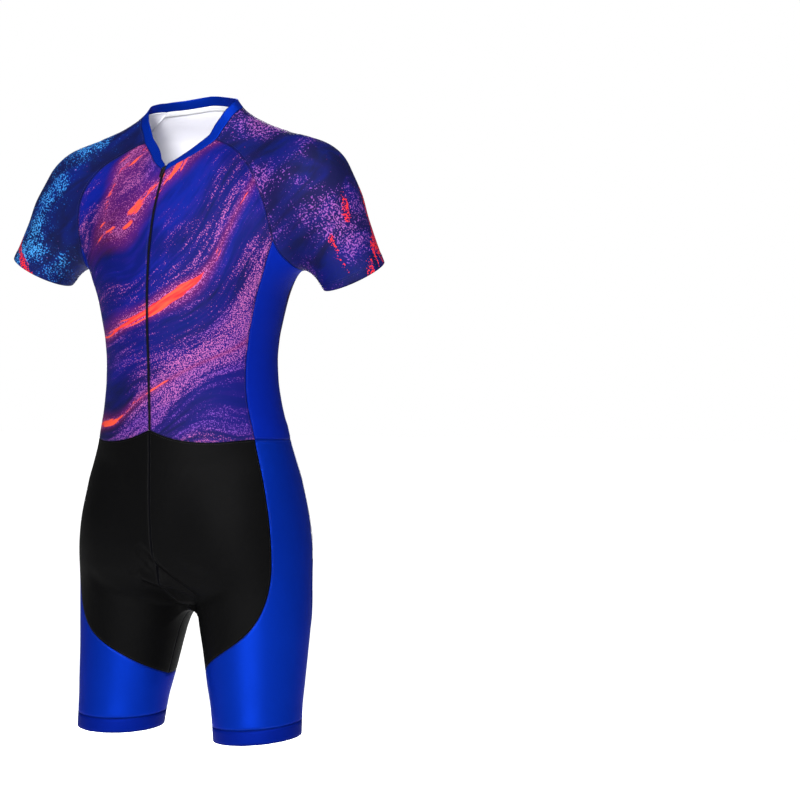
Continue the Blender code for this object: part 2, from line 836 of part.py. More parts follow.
def neckline(left, right):
    """The collar's seam, from the zip round the left side and the back to the zip again."""
    half = [
        joined(with_start(cut["neck_front"], cut["zip_edge"][0]), cut["neck_sleeve"], cut["neck_back"])
        for cut in (left, right)
    ]
    return joined(half[0], half[1][::-1])


def collar_band(name, left, right):
    line = neckline(left, right)
    way = np.linalg.norm(np.diff(line, axis=0), axis=1)
    way = np.concatenate([[0], np.cumsum(way)])
    from_zip = np.minimum(way, way[-1] - way)
    height = np.interp(from_zip, [0, COLLAR_GROWS_OVER], [COLLAR_FRONT_HEIGHT, COLLAR_HEIGHT])
    upper = beside(line, height)
    upper[0] = front_line(ZIP_SLOT / 2, line[0][2] + height[0])[0]
    upper[-1] = upper[0] * (-1, 1, 1)
    return cloth(name, np.stack([upper, line]), blue_knit(), wall=RIB)


def towards(line, other, distance):
    """Points part of the way from a panel's line to its next one, and the way out there."""
    share = distance / np.linalg.norm(other - line, axis=1)[:, None]
    point = (1 - share) * line + share * other
    return point, (1 - share) * outward(line) + share * outward(other)


def lining(name, lines, axis, finish):
    """A tape that lies on the inner face of the panels its lines were made from."""
    grid, normals = (np.stack(kind, axis) for kind in zip(*lines))
    return cloth(name, grid, finish, wall=TAPE, depth=CLOTH + SEAM_GAP, normals=normals)


def neck_tape(name, back):
    """The tape that covers the collar's seam inside the back of the neck."""
    lines = [(line, outward(line)) for line in back[:2]]
    return lining(name, lines, 0, white_tape())


def zip_tape(name, left, right):
    """The woven tape behind the two front edges."""
    reach = (ZIP_TAPE_WIDTH - ZIP_SLOT) / 2
    lines = [
        towards(panel[:, 0], panel[:, 1], distance)
        for panel, distance in ((right, reach), (right, 0), (left, 0), (left, reach))
    ]
    return lining(name, lines, 1, black_tape())


def piping(name, cut, side):
    """Reflective tape down the side seam, over the edges of both panels."""
    line = joined(cut["yoke_side"], cut["thigh_back"])
    line = line[line[:, 2] > PIPING_END]
    half = side * PIPING_WIDTH / 2
    grid = np.stack([beside(line, half), line, beside(line, -half)], 1)
    return cloth(name, grid, reflective_tape(), wall=PIPING_WALL, depth=-PIPING_WALL - SEAM_GAP)


def zip_chain(name, zip_edge):
    """The closed coil in the slot, from the collar's top to the waist."""
    top, bottom = zip_edge[0][2] + COLLAR_FRONT_HEIGHT, zip_edge[-1][2] + CHAIN_SHORT
    heights = np.concatenate([[top], zip_edge[:-1, 2], [bottom]])
    lines = [front_line(x, heights) for x in (-CHAIN_WIDTH / 2, CHAIN_WIDTH / 2)]
    return cloth(name, np.stack(lines, 1), zip_metal(), CHAIN_WALL, CHAIN_DEPTH)


def slider_place():
    """A point of the zip's line, and the directions across, down and out of the cloth there."""
    point = front_line(0, SLIDER_AT)
    out = outward(point)[0]
    across = np.array((1.0, 0.0, 0.0))
    return point[0], (across, np.cross(across, out), out)


def blocks(across, down, out, filled):
    """A mesh of the filled cells between three sets of planes."""
    mesh = bmesh.new()
    planes = (across, down, out)
    for cell in filled:
        for axis in range(3):
            for end in (0, 1):
                beyond = list(cell)
                beyond[axis] += 2 * end - 1
                if tuple(beyond) in filled:
                    continue
                u, v = (axis + 1) % 3, (axis + 2) % 3
                corners = []
                for du, dv in ((0, 0), (1, 0), (1, 1), (0, 1)):
                    corner = [0.0, 0.0, 0.0]
                    corner[axis] = planes[axis][cell[axis] + end]
                    corner[u] = planes[u][cell[u] + du]
                    corner[v] = planes[v][cell[v] + dv]
                    corners.append(mesh.verts.new(corner))
                mesh.faces.new(corners if end else corners[::-1])
    bmesh.ops.remove_doubles(mesh, verts=mesh.verts, dist=1e-6)
    return mesh


def placed(name, mesh, finish):
    """The mesh laid on the zip, from its own across, down and out to the suit's frame."""
    sharp = [edge for edge in mesh.edges if edge.calc_face_angle() > math.radians(30)]
    bmesh.ops.bevel(mesh, geom=sharp, offset=METAL_ROUNDING, segments=1, affect="EDGES")
    point, directions = slider_place()
    for corner in mesh.verts:
        corner.co = Vector(point + sum(c * d for c, d in zip(corner.co, directions)))
    bmesh.ops.triangulate(mesh, faces=mesh.faces)
    bmesh.ops.recalc_face_normals(mesh, faces=mesh.faces)
    return finished(name, mesh, finish)


def both_ways(*sizes):
    """Planes at half of each size, on both sides of the middle."""
    return [-size / 2 for size in sizes] + [size / 2 for size in reversed(sizes)]


def zip_slider(name):
    """The slider's body, with an arch on it that the pull tab hangs from."""
    top = SLIDER_LIFT + SLIDER_THICKNESS
    mesh = blocks(
        both_ways(SLIDER_WIDTH, ARCH_WIDTH),
        both_ways(SLIDER_LENGTH, ARCH_LENGTH, ARCH_HOLE_LENGTH),
        (SLIDER_LIFT, top, top + ARCH_HOLE_HEIGHT, top + ARCH_HOLE_HEIGHT + ARCH_WALL),
        {(i, j, 0) for i in range(3) for j in range(5)}
        | {(1, 1, 1), (1, 3, 1)}
        | {(1, j, 2) for j in (1, 2, 3)},
    )
    return placed(name, mesh, zip_metal())


def pull_tab(name):
    """A slim tab whose upper bar is the pin under the slider's arch."""
    pin_at = SLIDER_LIFT + SLIDER_THICKNESS + ARCH_HOLE_HEIGHT / 2
    hole_end = PIN / 2 + TAB_HOLE_LENGTH
    mesh = blocks(
        both_ways(TAB_WIDTH, TAB_HOLE_WIDTH),
        (-PIN / 2, PIN / 2, hole_end, TAB_LENGTH),
        (pin_at - TAB_THICKNESS / 2, pin_at + TAB_THICKNESS / 2),
        {(i, j, 0) for i in range(3) for j in range(3)} - {(1, 1, 0)},
    )
    for corner in mesh.verts:
        if corner.co.y > hole_end + METAL_ROUNDING:
            corner.co.x *= TAB_END_WIDTH / TAB_WIDTH
    past_hole, side = hole_end + METAL_ROUNDING, TAB_END_WIDTH / 2 - METAL_ROUNDING
    outer = {corner for corner in mesh.verts if corner.co.y > past_hole and abs(corner.co.x) > side}
    ends = [edge for edge in mesh.edges if outer.issuperset(edge.verts)]
    bmesh.ops.bevel(mesh, geom=ends, offset=TAB_END_ROUNDING, segments=3, affect="EDGES")
    return placed(name, mesh, zip_metal())


def main():
    for old in list(bpy.data.objects):
        bpy.data.objects.remove(old)
    left, right = seams_of(LEFT), seams_of(RIGHT)
    front = {}
    for name, side, cut in (("left", LEFT, left), ("right", RIGHT, right)):
        front[name] = front_grid(cut)
        cloth(f"front_panel_{name}", front[name], printed_knit())
        side_panel(f"side_panel_{name}", cut)
        sleeve(f"sleeve_{name}", cut, side)
        shorts_front(f"shorts_front_{name}", cut)
        seat_panel(f"seat_panel_{name}", cut)
        leg_panel(f"leg_panel_{name}", cut, side)
        leg_band(f"leg_band_{name}", side)
        piping(f"side_piping_{name}", cut, side)
    back = back_grid(left, right)
    cloth("back_panel", back, printed_knit())
    lower_back_panel("lower_back_panel", left, right)
    collar_band("collar_band", left, right)
    neck_tape("neck_tape", back)
    zip_tape("zip_tape", front["left"], front["right"])
    zip_chain("zip_chain", left["zip_edge"])
    zip_slider("zip_slider")
    pull_tab("pull_tab")


main()
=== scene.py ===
# %% [markdown]
# # A triathlon suit, dressed
# The frame is a set of plain walls, one for each piece that a maker cuts. This lesson turns
# each wall into cloth: a smooth thin shell with soft creases, a knitted finish, and its
# stitching. First it loads the frame. No piece may grow past it.

import math

import bmesh
import bpy
import numpy as np
from mathutils import Euler, Matrix, Vector, kdtree
from mathutils.bvhtree import BVHTree


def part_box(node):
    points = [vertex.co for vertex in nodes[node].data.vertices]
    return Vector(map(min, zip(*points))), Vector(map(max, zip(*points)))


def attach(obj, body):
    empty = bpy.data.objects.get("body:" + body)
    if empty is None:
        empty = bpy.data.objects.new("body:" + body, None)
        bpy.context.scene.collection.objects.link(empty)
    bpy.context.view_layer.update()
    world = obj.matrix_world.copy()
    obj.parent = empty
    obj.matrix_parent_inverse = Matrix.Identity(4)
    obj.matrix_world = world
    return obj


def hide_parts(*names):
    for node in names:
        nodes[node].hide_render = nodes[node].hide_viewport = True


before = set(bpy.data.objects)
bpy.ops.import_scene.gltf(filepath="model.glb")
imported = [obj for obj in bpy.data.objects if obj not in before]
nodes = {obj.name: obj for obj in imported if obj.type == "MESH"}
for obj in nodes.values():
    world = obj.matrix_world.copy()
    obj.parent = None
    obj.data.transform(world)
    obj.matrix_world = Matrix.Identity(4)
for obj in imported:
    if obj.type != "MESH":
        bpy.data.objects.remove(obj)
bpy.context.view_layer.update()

# %% [markdown]
# ## The stage
# A garment on a white page needs very little: a pale floor far enough below it to catch no
# hard shadow, a pale surround, and big soft lamps. One lamp stands to the front left and
# draws the broad satin streak down stretch cloth. A weaker one on the right keeps the far
# side from going black, and one from above shapes the shoulders.

# %% Camera
AIM = Vector((0, 0, -0.418))
CAMERA_DISTANCE = 3.6
CAMERA_TURN, CAMERA_RISE = 33, 1
FOCAL_PIXELS = 2603
FRAME_PIXELS = 800
AIM_PIXEL = (194.0, 421)
SENSOR_WIDTH = 36


def in_scene(name, data):
    """A new object of the scene that shows the data."""
    made = bpy.data.objects.new(name, data)
    bpy.context.scene.collection.objects.link(made)
    return made


def way_back(turn, rise):
    """The way back from the suit, at a turn round it and a rise above it, in degrees."""
    turn, rise = math.radians(turn), math.radians(rise)
    return Vector((math.sin(turn) * math.cos(rise), -math.cos(turn) * math.cos(rise), math.sin(rise)))


camera = in_scene("camera", bpy.data.cameras.new("camera"))
bpy.context.scene.camera = camera
camera.data.sensor_width = SENSOR_WIDTH
camera.data.lens = SENSOR_WIDTH * FOCAL_PIXELS / FRAME_PIXELS
away = way_back(CAMERA_TURN, CAMERA_RISE)
camera.location = AIM + CAMERA_DISTANCE * away
aimed = (-away).to_track_quat("-Z", "Y")
off_middle = [(FRAME_PIXELS / 2 - pixel) / FOCAL_PIXELS for pixel in AIM_PIXEL]
turned = Euler((math.atan(off_middle[1]), math.atan(off_middle[0]), 0)).to_quaternion()
camera.rotation_mode = "QUATERNION"
camera.rotation_quaternion = aimed @ turned.inverted()
print("camera at", np.round(camera.location, 3).tolist(), "lens", round(camera.data.lens, 1))

# %% Floor, surround and lamps
FLOOR_BELOW, FLOOR_SIZE = -1.25, 30
SURROUND_LIGHT = 0.17
FLOOR_GLOW = 0.10


def seen_as_white(tree, light):
    """A strength that looks white to the camera, and gives the suit only so much light."""
    seen = tree.nodes.new("ShaderNodeLightPath").outputs["Is Camera Ray"]
    strength = tree.nodes.new("ShaderNodeMapRange")
    tree.links.new(seen, strength.inputs["Value"])
    strength.inputs["To Min"].default_value = light
    strength.inputs["To Max"].default_value = 1.0
    return strength.outputs[0]


bpy.context.scene.view_settings.view_transform = "Standard"
world = bpy.data.worlds.new("surround")
world.use_nodes = True
surround = world.node_tree.nodes["Background"]
surround.inputs["Color"].default_value = (1, 1, 1, 1)
world.node_tree.links.new(seen_as_white(world.node_tree, SURROUND_LIGHT), surround.inputs["Strength"])
bpy.context.scene.world = world

floor_mesh = bmesh.new()
bmesh.ops.create_grid(floor_mesh, x_segments=1, y_segments=1, size=FLOOR_SIZE)
bmesh.ops.translate(floor_mesh, verts=floor_mesh.verts, vec=(0, 0, FLOOR_BELOW))
floor = in_scene("floor", bpy.data.meshes.new("floor"))
floor_mesh.to_mesh(floor.data)
floor_mesh.free()
pale = bpy.data.materials.new("pale_floor")
pale.use_nodes = True
pale_shader = pale.node_tree.nodes["Principled BSDF"]
pale_shader.inputs["Base Color"].default_value = (0.9, 0.9, 0.9, 1)
pale_shader.inputs["Roughness"].default_value = 1.0
pale_shader.inputs["Emission Color"].default_value = (1, 1, 1, 1)
glow = seen_as_white(pale.node_tree, FLOOR_GLOW)
pale.node_tree.links.new(glow, pale_shader.inputs["Emission Strength"])
floor.data.materials.append(pale)


def lamp(name, turn, rise, distance, width, height, watts):
    """A soft area lamp that faces the suit from a turn round it and a rise above it."""
    back = way_back(turn, rise)
    made = in_scene(name, bpy.data.lights.new(name, "AREA"))
    made.data.shape = "RECTANGLE"
    made.data.size, made.data.size_y = width, height
    made.data.energy = watts
    made.location = AIM + distance * back
    made.rotation_mode = "QUATERNION"
    made.rotation_quaternion = back.to_track_quat("Z", "Y")


lamp("key", 18, 16, 3.2, 0.7, 2.2, 150)
lamp("fill", 72, 40, 3.4, 0.8, 2.0, 48)
lamp("back", 215, 15, 3.2, 0.9, 2.2, 110)
lamp("top", 33, 65, 2.8, 2.0, 1.2, 45)
print("stage set")

# %% [markdown]
# ## The body under the cloth
# The walls are flat between their corners, which is right for a solid and wrong for cloth.
# Stretch cloth follows the body, so the fine pieces are drawn onto one smooth figure: a
# trunk of ovals, two round arms and two oval legs, blended where they meet. The tables are
# the ones that the walls were made from, and a point is moved along the steepest way until
# its distance from the figure is the one asked for.

# %% The figure's tables


def table(columns, *rows):
    """A short table with named columns."""
    return dict(zip(columns.split(), np.array(rows, float).T))


TORSO = table(
    "height half_width front back",
    (0.060, 0.050, 0.024, 0.038),
    (0.030, 0.061, 0.028, 0.047),
    (0.010, 0.075, 0.030, 0.057),
    (-0.001, 0.090, 0.031, 0.067),
    (-0.012, 0.112, 0.032, 0.078),
    (-0.025, 0.138, 0.034, 0.088),
    (-0.045, 0.153, 0.045, 0.098),
    (-0.070, 0.160, 0.070, 0.105),
    (-0.100, 0.162, 0.086, 0.108),
    (-0.150, 0.161, 0.104, 0.112),
    (-0.200, 0.157, 0.113, 0.111),
    (-0.250, 0.138, 0.116, 0.107),
    (-0.280, 0.130, 0.116, 0.102),
    (-0.306, 0.1245, 0.115, 0.098),
    (-0.334, 0.1225, 0.113, 0.094),
    (-0.361, 0.1235, 0.112, 0.095),
    (-0.389, 0.127, 0.111, 0.100),
    (-0.417, 0.1325, 0.110, 0.108),
    (-0.444, 0.139, 0.110, 0.115),
    (-0.472, 0.1445, 0.110, 0.119),
    (-0.500, 0.146, 0.111, 0.121),
    (-0.540, 0.1465, 0.110, 0.120),
    (-0.580, 0.145, 0.107, 0.114),
    (-0.610, 0.138, 0.100, 0.104),
    (-0.640, 0.112, 0.080, 0.084),
    (-0.662, 0.060, 0.040, 0.044),
    (-0.670, 0.015, 0.012, 0.014),
)
ARM = table("along radius", (0, 0.06), (0.04, 0.0585), (0.08, 0.0515), (0.135, 0.045), (0.2, 0.042))
LEG = table(
    "height across back half_width half_depth",
    (-0.450, 0.080, 0.004, 0.030, 0.035),
    (-0.500, 0.084, 0.004, 0.058, 0.080),
    (-0.560, 0.090, 0.003, 0.072, 0.095),
    (-0.610, 0.0935, 0.001, 0.078, 0.089),
    (-0.650, 0.0955, -0.002, 0.0785, 0.080),
    (-0.690, 0.0980, -0.005, 0.0765, 0.0755),
    (-0.730, 0.1015, -0.009, 0.0715, 0.0710),
    (-0.770, 0.1050, -0.014, 0.0670, 0.0660),
    (-0.805, 0.1085, -0.018, 0.0625, 0.0620),
    (-0.880, 0.1140, -0.024, 0.0590, 0.0585),
)
SHOULDER = {1: np.array((0.185, -0.002, -0.098)), -1: np.array((0.181, 0.004, -0.102))}
CUFF = {1: np.array((0.246, 0.013, -0.222)), -1: np.array((0.256, 0.002, -0.206))}
ARM_REACH = 0.160
ARM_BLEND, LEG_BLEND, CROTCH_BLEND = 0.065, 0.040, 0.030
LEGS_ASIDE, ASIDE_FROM, ASIDE_FULL = 0.004, -0.540, -0.720
print("trunk, arm and leg tables:", len(TORSO["height"]), len(ARM["along"]), len(LEG["height"]), "rows")

# %% Distance from the figure


def read(rows, column, at):
    """A table's column between its rows, along a smooth curve with no overshoot."""
    order = np.argsort(next(iter(rows.values())))
    xs, ys = next(iter(rows.values()))[order], rows[column][order]
    step = np.diff(xs)
    slope = np.diff(ys) / step
    tangent = np.zeros(len(ys))
    tangent[0], tangent[-1] = slope[0], slope[-1]
    turning = slope[:-1] * slope[1:] <= 0
    mean = 2 * slope[:-1] * slope[1:] / np.where(turning, 1, slope[:-1] + slope[1:])
    tangent[1:-1] = np.where(turning, 0, mean)
    row = np.clip(np.searchsorted(xs, at) - 1, 0, len(step) - 1)
    t = np.clip((at - xs[row]) / step[row], 0, 1)
    return (
        ys[row] * (1 + 2 * t) * (1 - t) ** 2
        + ys[row + 1] * t**2 * (3 - 2 * t)
        + step[row] * t * (1 - t) * (tangent[row] * (1 - t) - tangent[row + 1] * t)
    )


def from_oval(x, y, half_width, half_depth):
    """About how far a point is outside an oval."""
    reach = np.hypot(x / half_width, y / half_depth) + 1e-9
    slope = np.hypot(x / half_width**2, y / half_depth**2) / reach
    return (reach - 1) / np.maximum(slope, 1 / np.maximum(half_width, half_depth))


def from_torso(p):
    """How far each point is outside the trunk, which is deeper behind than in front."""
    x, y, z = p.T
    depth = np.where(y < 0, read(TORSO, "front", z), read(TORSO, "back", z))
    wall = from_oval(x, y, read(TORSO, "half_width", z), depth)
    return np.maximum(wall, TORSO["height"].min() - z)


def arm_axis(side):
    """The way from the shoulder to the cuff."""
    reach = CUFF[side] - SHOULDER[side]
    return reach / np.linalg.norm(reach)


def from_arm(p, side):
    """How far each point is outside one arm, which ends square at its reach."""
    offset = p * (side, 1, 1) - SHOULDER[side]
    along = np.maximum(offset @ arm_axis(side), 0)
    wall = np.linalg.norm(offset - along[:, None] * arm_axis(side), axis=1)
    return np.maximum(wall - read(ARM, "radius", along), along - ARM_REACH)


def from_leg(p, side):
    """How far each point is outside one leg."""
    x, y, z = p.T
    wall = from_oval(
        side * x - read(LEG, "across", z),
        y - read(LEG, "back", z),
        read(LEG, "half_width", z),
        read(LEG, "half_depth", z),
    )
    return np.maximum(wall, z - LEG["height"].max())


def blended(a, b, reach):
    """Two distances as one, with a soft hollow where the two shapes meet."""
    share = np.maximum(reach - np.abs(a - b), 0) / reach
    return np.minimum(a, b) - share**2 * reach / 4


def aside(height):
    """How far the figure stands to the wearer's left of the middle: its legs a little, its trunk not."""
    share = np.clip((ASIDE_FROM - height) / (ASIDE_FROM - ASIDE_FULL), 0, 1)
    return LEGS_ASIDE * share**2 * (3 - 2 * share)


def from_figure(p):
    """How far each point is outside the whole figure."""
    p = p - aside(p[:, 2:]) * (1, 0, 0)
    legs = blended(from_leg(p, 1), from_leg(p, -1), CROTCH_BLEND)
    body = blended(from_torso(p), legs, LEG_BLEND)
    return blended(blended(body, from_arm(p, 1), ARM_BLEND), from_arm(p, -1), ARM_BLEND)


PROBE = 0.0005
DRAWING_ROUNDS, LEAST_SLOPE = 4, 0.25


def steepest(p):
    """How fast the distance from the figure grows along each axis."""
    steps = PROBE * np.eye(3)
    return np.stack([from_figure(p + s) - from_figure(p - s) for s in steps], 1) / (2 * PROBE)


def outward(p):
    """The way straight out of the figure at each point."""
    grown = steepest(p)
    return grown / np.linalg.norm(grown, axis=1)[:, None]


def drawn_to(p, height):
    """Points moved to a height above the figure."""
    for _ in range(DRAWING_ROUNDS):
        grown = steepest(p)
        short = (from_figure(p) - height) / np.maximum((grown**2).sum(1), LEAST_SLOPE)
        p = p - short[:, None] * grown
    return p


waist = drawn_to(np.array([[0.1, 0.0, -0.33]]), 0.0)[0]
print("a point beside the waist lands at", np.round(waist, 4).tolist())

# %% [markdown]
# ## Creases
# Stretch cloth lies nearly smooth, and what creases it has come from where it is pulled:
# out of the underarms, across the front of the hips, under the seat and round the back of
# the waist. Each crease here is a soft trough with low shoulders beside it, along a bowed
# line between two points near the cloth. Because a crease depends only on where a point is,
# it runs on across a seam from one piece to the next, as it does in a sewn garment.

# %% The creases, one row for each
CREASES = table(
    "x0 y0 z0 x1 y1 z1 bow width depth",
    (0.150, -0.060, -0.190, 0.110, -0.100, -0.150, 0.004, 0.012, 0.0014),
    (0.155, -0.055, -0.205, 0.120, -0.095, -0.205, -0.004, 0.011, 0.0010),
    (-0.150, -0.060, -0.190, -0.108, -0.100, -0.155, 0.004, 0.012, 0.0014),
    (-0.155, -0.055, -0.210, -0.118, -0.095, -0.215, 0.004, 0.011, 0.0010),
    (0.190, -0.040, -0.190, 0.215, -0.055, -0.130, 0.006, 0.010, 0.0016),
    (0.205, -0.030, -0.215, 0.240, -0.045, -0.165, 0.006, 0.008, 0.0012),
    (-0.190, -0.040, -0.190, -0.218, -0.055, -0.125, -0.006, 0.010, 0.0016),
    (-0.205, -0.030, -0.210, -0.238, -0.045, -0.160, -0.006, 0.008, 0.0012),
    (0.190, 0.045, -0.190, 0.214, 0.060, -0.135, 0.006, 0.010, 0.0016),
    (-0.190, 0.045, -0.190, -0.214, 0.060, -0.130, -0.006, 0.010, 0.0018),
    (0.165, 0.060, -0.185, 0.120, 0.095, -0.150, 0.005, 0.013, 0.0015),
    (-0.165, 0.060, -0.185, -0.125, 0.095, -0.145, -0.005, 0.013, 0.0015),
    (-0.060, 0.100, -0.330, 0.060, 0.098, -0.336, 0.004, 0.012, 0.0009),
    (-0.035, 0.100, -0.352, 0.070, 0.100, -0.356, -0.004, 0.010, 0.0008),
    (-0.022, -0.104, -0.582, 0.052, -0.070, -0.657, 0.003, 0.0085, 0.0062),
    (-0.030, -0.085, -0.624, 0.012, -0.082, -0.640, -0.003, 0.010, -0.0055),
    (-0.006, -0.102, -0.596, -0.046, -0.092, -0.624, -0.004, 0.008, 0.0020),
    (0.030, -0.095, -0.600, 0.082, -0.092, -0.622, 0.006, 0.012, 0.0016),
    (0.050, -0.070, -0.655, 0.120, -0.090, -0.620, 0.008, 0.012, 0.0012),
    (-0.050, -0.070, -0.655, -0.118, -0.090, -0.625, -0.008, 0.012, 0.0012),
    (0.006, 0.110, -0.600, 0.050, 0.080, -0.655, -0.008, 0.009, 0.0022),
    (-0.006, 0.110, -0.600, -0.054, 0.080, -0.650, 0.008, 0.009, 0.0020),
    (0.050, 0.080, -0.668, 0.110, 0.078, -0.655, 0.006, 0.012, 0.0016),
    (-0.050, 0.080, -0.668, -0.112, 0.078, -0.658, -0.006, 0.012, 0.0016),
)
CREASE_POINTS, CREASE_REACH = 16, 0.12
END_FADE, SHOULDERS = 0.7, 0.9


def crease_line(row):
    """Points along a crease, on the figure."""
    start, end = (np.array([row[f"{axis}{k}"] for axis in "xyz"]) for k in (0, 1))
    middle = (start + end) / 2
    sideways = np.cross(end - start, outward(middle[None])[0])
    middle = middle + row["bow"] * 2 * sideways / np.linalg.norm(sideways)
    t = np.linspace(0, 1, CREASE_POINTS)[:, None]
    line = (1 - t) ** 2 * start + 2 * t * (1 - t) * middle + t**2 * end
    return drawn_to(line, 0.0)


def creased(p):
    """How far each point is moved out of the figure by every crease."""
    moved = np.zeros(len(p))
    for k in range(len(CREASES["x0"])):
        row = {column: values[k] for column, values in CREASES.items()}
        line = crease_line(row)
        near = np.where(np.linalg.norm(p - line.mean(0), axis=1) < CREASE_REACH)[0]
        if not len(near):
            continue
        starts, ways = line[:-1], np.diff(line, axis=0)
        offset = p[near][:, None] - starts[None]
        share = np.clip((offset * ways).sum(2) / (ways**2).sum(1), 0, 1)
        gaps = np.linalg.norm(offset - share[..., None] * ways[None], axis=2)
        nearest = gaps.argmin(1)
        along = (nearest + share[np.arange(len(near)), nearest]) / len(ways)
        across = gaps.min(1) / row["width"]
        fade = np.sin(np.pi * np.clip(along, 0, 1)) ** END_FADE
        moved[near] -= row["depth"] * fade * (1 - SHOULDERS * across**2) * np.exp(-(across**2))
    return moved


print(len(CREASES["x0"]), "creases")

# %% [markdown]
# ## From a wall to cloth
# A main piece's outer face lies on the figure, so its inner face is found by its height and
# deleted. A trim stands off the figure, so its outer face is cut free along its sharp edges
# instead. The triangles are joined back into the squares they were split from. A square that
# bends so far that rounding could fold it stays two triangles. Subdivision Surface rounds the
# outline later, and Solidify turns the skin into a shell.

# %% Cut the outer skin free
TRIMS = ("collar_band", "leg_band", "neck_tape", "side_piping", "zip_tape")
HALF_WALL = 0.0006
SHARP_EDGE, WIDEST_CORNER = math.radians(50), math.radians(165)
TOUCHING = 1e-5


def heights_of(mesh):
    """How far each point of a mesh is outside the figure."""
    return from_figure(np.array([vert.co for vert in mesh.verts]))


def keep_outer_side(mesh):
    """Leaves the outer face of a wall whose outer face lies on the figure."""
    inner = [vert for vert, height in zip(mesh.verts, heights_of(mesh)) if height < -HALF_WALL]
    bmesh.ops.delete(mesh, geom=inner, context="VERTS")
    bmesh.ops.dissolve_degenerate(mesh, dist=TOUCHING, edges=mesh.edges)


def keep_largest_side(mesh):
    """Leaves the largest face of a wall that stands off the figure, cut free at its sharp edges."""
    mesh.normal_update()
    sharp = [edge for edge in mesh.edges if edge.calc_face_angle(0) > SHARP_EDGE]
    bmesh.ops.split_edges(mesh, edges=sharp)
    islands, seen = [], set()
    for first in mesh.faces:
        if first in seen:
            continue
        island, waiting = [], [first]
        seen.add(first)
        while waiting:
            face = waiting.pop()
            island.append(face)
            for other in (f for edge in face.edges for f in edge.link_faces):
                if other not in seen:
                    seen.add(other)
                    waiting.append(other)
        islands.append(island)
    largest = set(max(islands, key=lambda faces: sum(face.calc_area() for face in faces)))
    rest = [face for face in mesh.faces if face not in largest]
    bmesh.ops.delete(mesh, geom=rest, context="FACES")
    bmesh.ops.remove_doubles(mesh, verts=mesh.verts, dist=TOUCHING)


def outer_skin(node):
    """The outer face of a wall, in squares, without its inner face and cut edges."""
    mesh = bmesh.new()
    mesh.from_mesh(nodes[node].data)
    bmesh.ops.remove_doubles(mesh, verts=mesh.verts, dist=TOUCHING)
    if node.startswith(TRIMS):
        keep_largest_side(mesh)
    else:
        keep_outer_side(mesh)
    bmesh.ops.holes_fill(mesh, edges=mesh.edges, sides=4)
    bmesh.ops.join_triangles(
        mesh, faces=mesh.faces, angle_face_threshold=math.pi, angle_shape_threshold=math.pi
    )
    bent = [
        face for face in mesh.faces
        if any(not loop.is_convex or loop.calc_angle() > WIDEST_CORNER for loop in face.loops)
    ]
    bmesh.ops.triangulate(mesh, faces=bent)
    print(f"{node}: {len(bent)} bent squares split again")
    return mesh


HARD_NODES = ("zip_chain", "zip_slider", "pull_tab")
skins = {name: outer_skin(name) for name in sorted(nodes) if name not in HARD_NODES}
for name, skin in skins.items():
    squares = sum(len(face.verts) == 4 for face in skin.faces)
    print(f"{name}: {squares} squares, {len(skin.faces) - squares} triangles")

# %% [markdown]
# The knit needs its own map, in metres round and along the cloth. It runs level round the
# trunk, and straight down each sleeve and leg. Seams need the cut edges as lines, to know how
# far each point lies from one.

# %% The knit's map
KNIT_MAP = "knit"
MEAN_RADIUS = {"trunk": 0.135, "arm": 0.052, "leg": 0.072}


def limb_of(name):
    """The part of the figure that a piece is wrapped round."""
    if name.startswith("sleeve"):
        return "arm"
    return "leg" if name.startswith(("leg", "shorts", "seat")) else "trunk"


def side_of(name):
    return -1 if name.endswith("right") else 1


def round_and_along(points, name):
    """For each point, its turn round the body or limb, and its way along it in metres."""
    limb, side = limb_of(name), side_of(name)
    if limb == "arm":
        offset = points * (side, 1, 1) - SHOULDER[side]
        level = np.cross(arm_axis(side), (0, 1, 0))
        return np.arctan2(offset[:, 1], offset @ level), offset @ arm_axis(side)
    x, y, z = points.T
    if limb == "leg":
        x = side * x - read(LEG, "across", z)
    behind = 1 if name.startswith(("back", "lower", "collar", "neck", "seat", "side")) else -1
    return np.arctan2(x, behind * y), z


def knit_map(mesh, name):
    """Lays the map, and keeps each face whole where the turn starts again."""
    turn, along = round_and_along(points_of(mesh), name)
    layer = mesh.uv_layers.new(name=KNIT_MAP)
    for face in mesh.polygons:
        first = turn[mesh.loops[face.loop_start].vertex_index]
        for loop in face.loop_indices:
            vert = mesh.loops[loop].vertex_index
            near = first + (turn[vert] - first + math.pi) % (2 * math.pi) - math.pi
            layer.data[loop].uv = near * MEAN_RADIUS[limb_of(name)], along[vert]


def points_of(mesh):
    flat = np.empty(3 * len(mesh.vertices), np.float32)
    mesh.vertices.foreach_get("co", flat)
    return flat.reshape(-1, 3).astype(float)


print("mean radii in metres:", MEAN_RADIUS)

# %% Lines along the cut edges
MARK_STEP = 0.0005


def rims(mesh):
    """Each cut edge of a piece as a closed line of points, with the cloth on its left."""
    copy = bmesh.new()
    copy.from_mesh(mesh)
    after = {
        loop.vert.index: loop.link_loop_next.vert.index
        for edge in copy.edges if edge.is_boundary for loop in edge.link_loops
    }
    points = [tuple(vert.co) for vert in copy.verts]
    copy.free()
    lines = []
    while after:
        here, line = min(after), []
        while here in after:
            line.append(points[here])
            here = after.pop(here)
        lines.append(np.array(line + line[:1]))
    return lines


def spaced(line, step):
    """Points along a line at equal steps."""
    reach = np.concatenate([[0], np.cumsum(np.linalg.norm(np.diff(line, axis=0), axis=1))])
    at = np.linspace(0, reach[-1], max(int(reach[-1] / step), 2))
    return np.stack([np.interp(at, reach, column) for column in line.T], 1)


def searchable(marks):
    """A tree that finds the nearest of some points."""
    tree = kdtree.KDTree(len(marks))
    for index, mark in enumerate(marks):
        tree.insert(mark, index)
    tree.balance()
    return tree


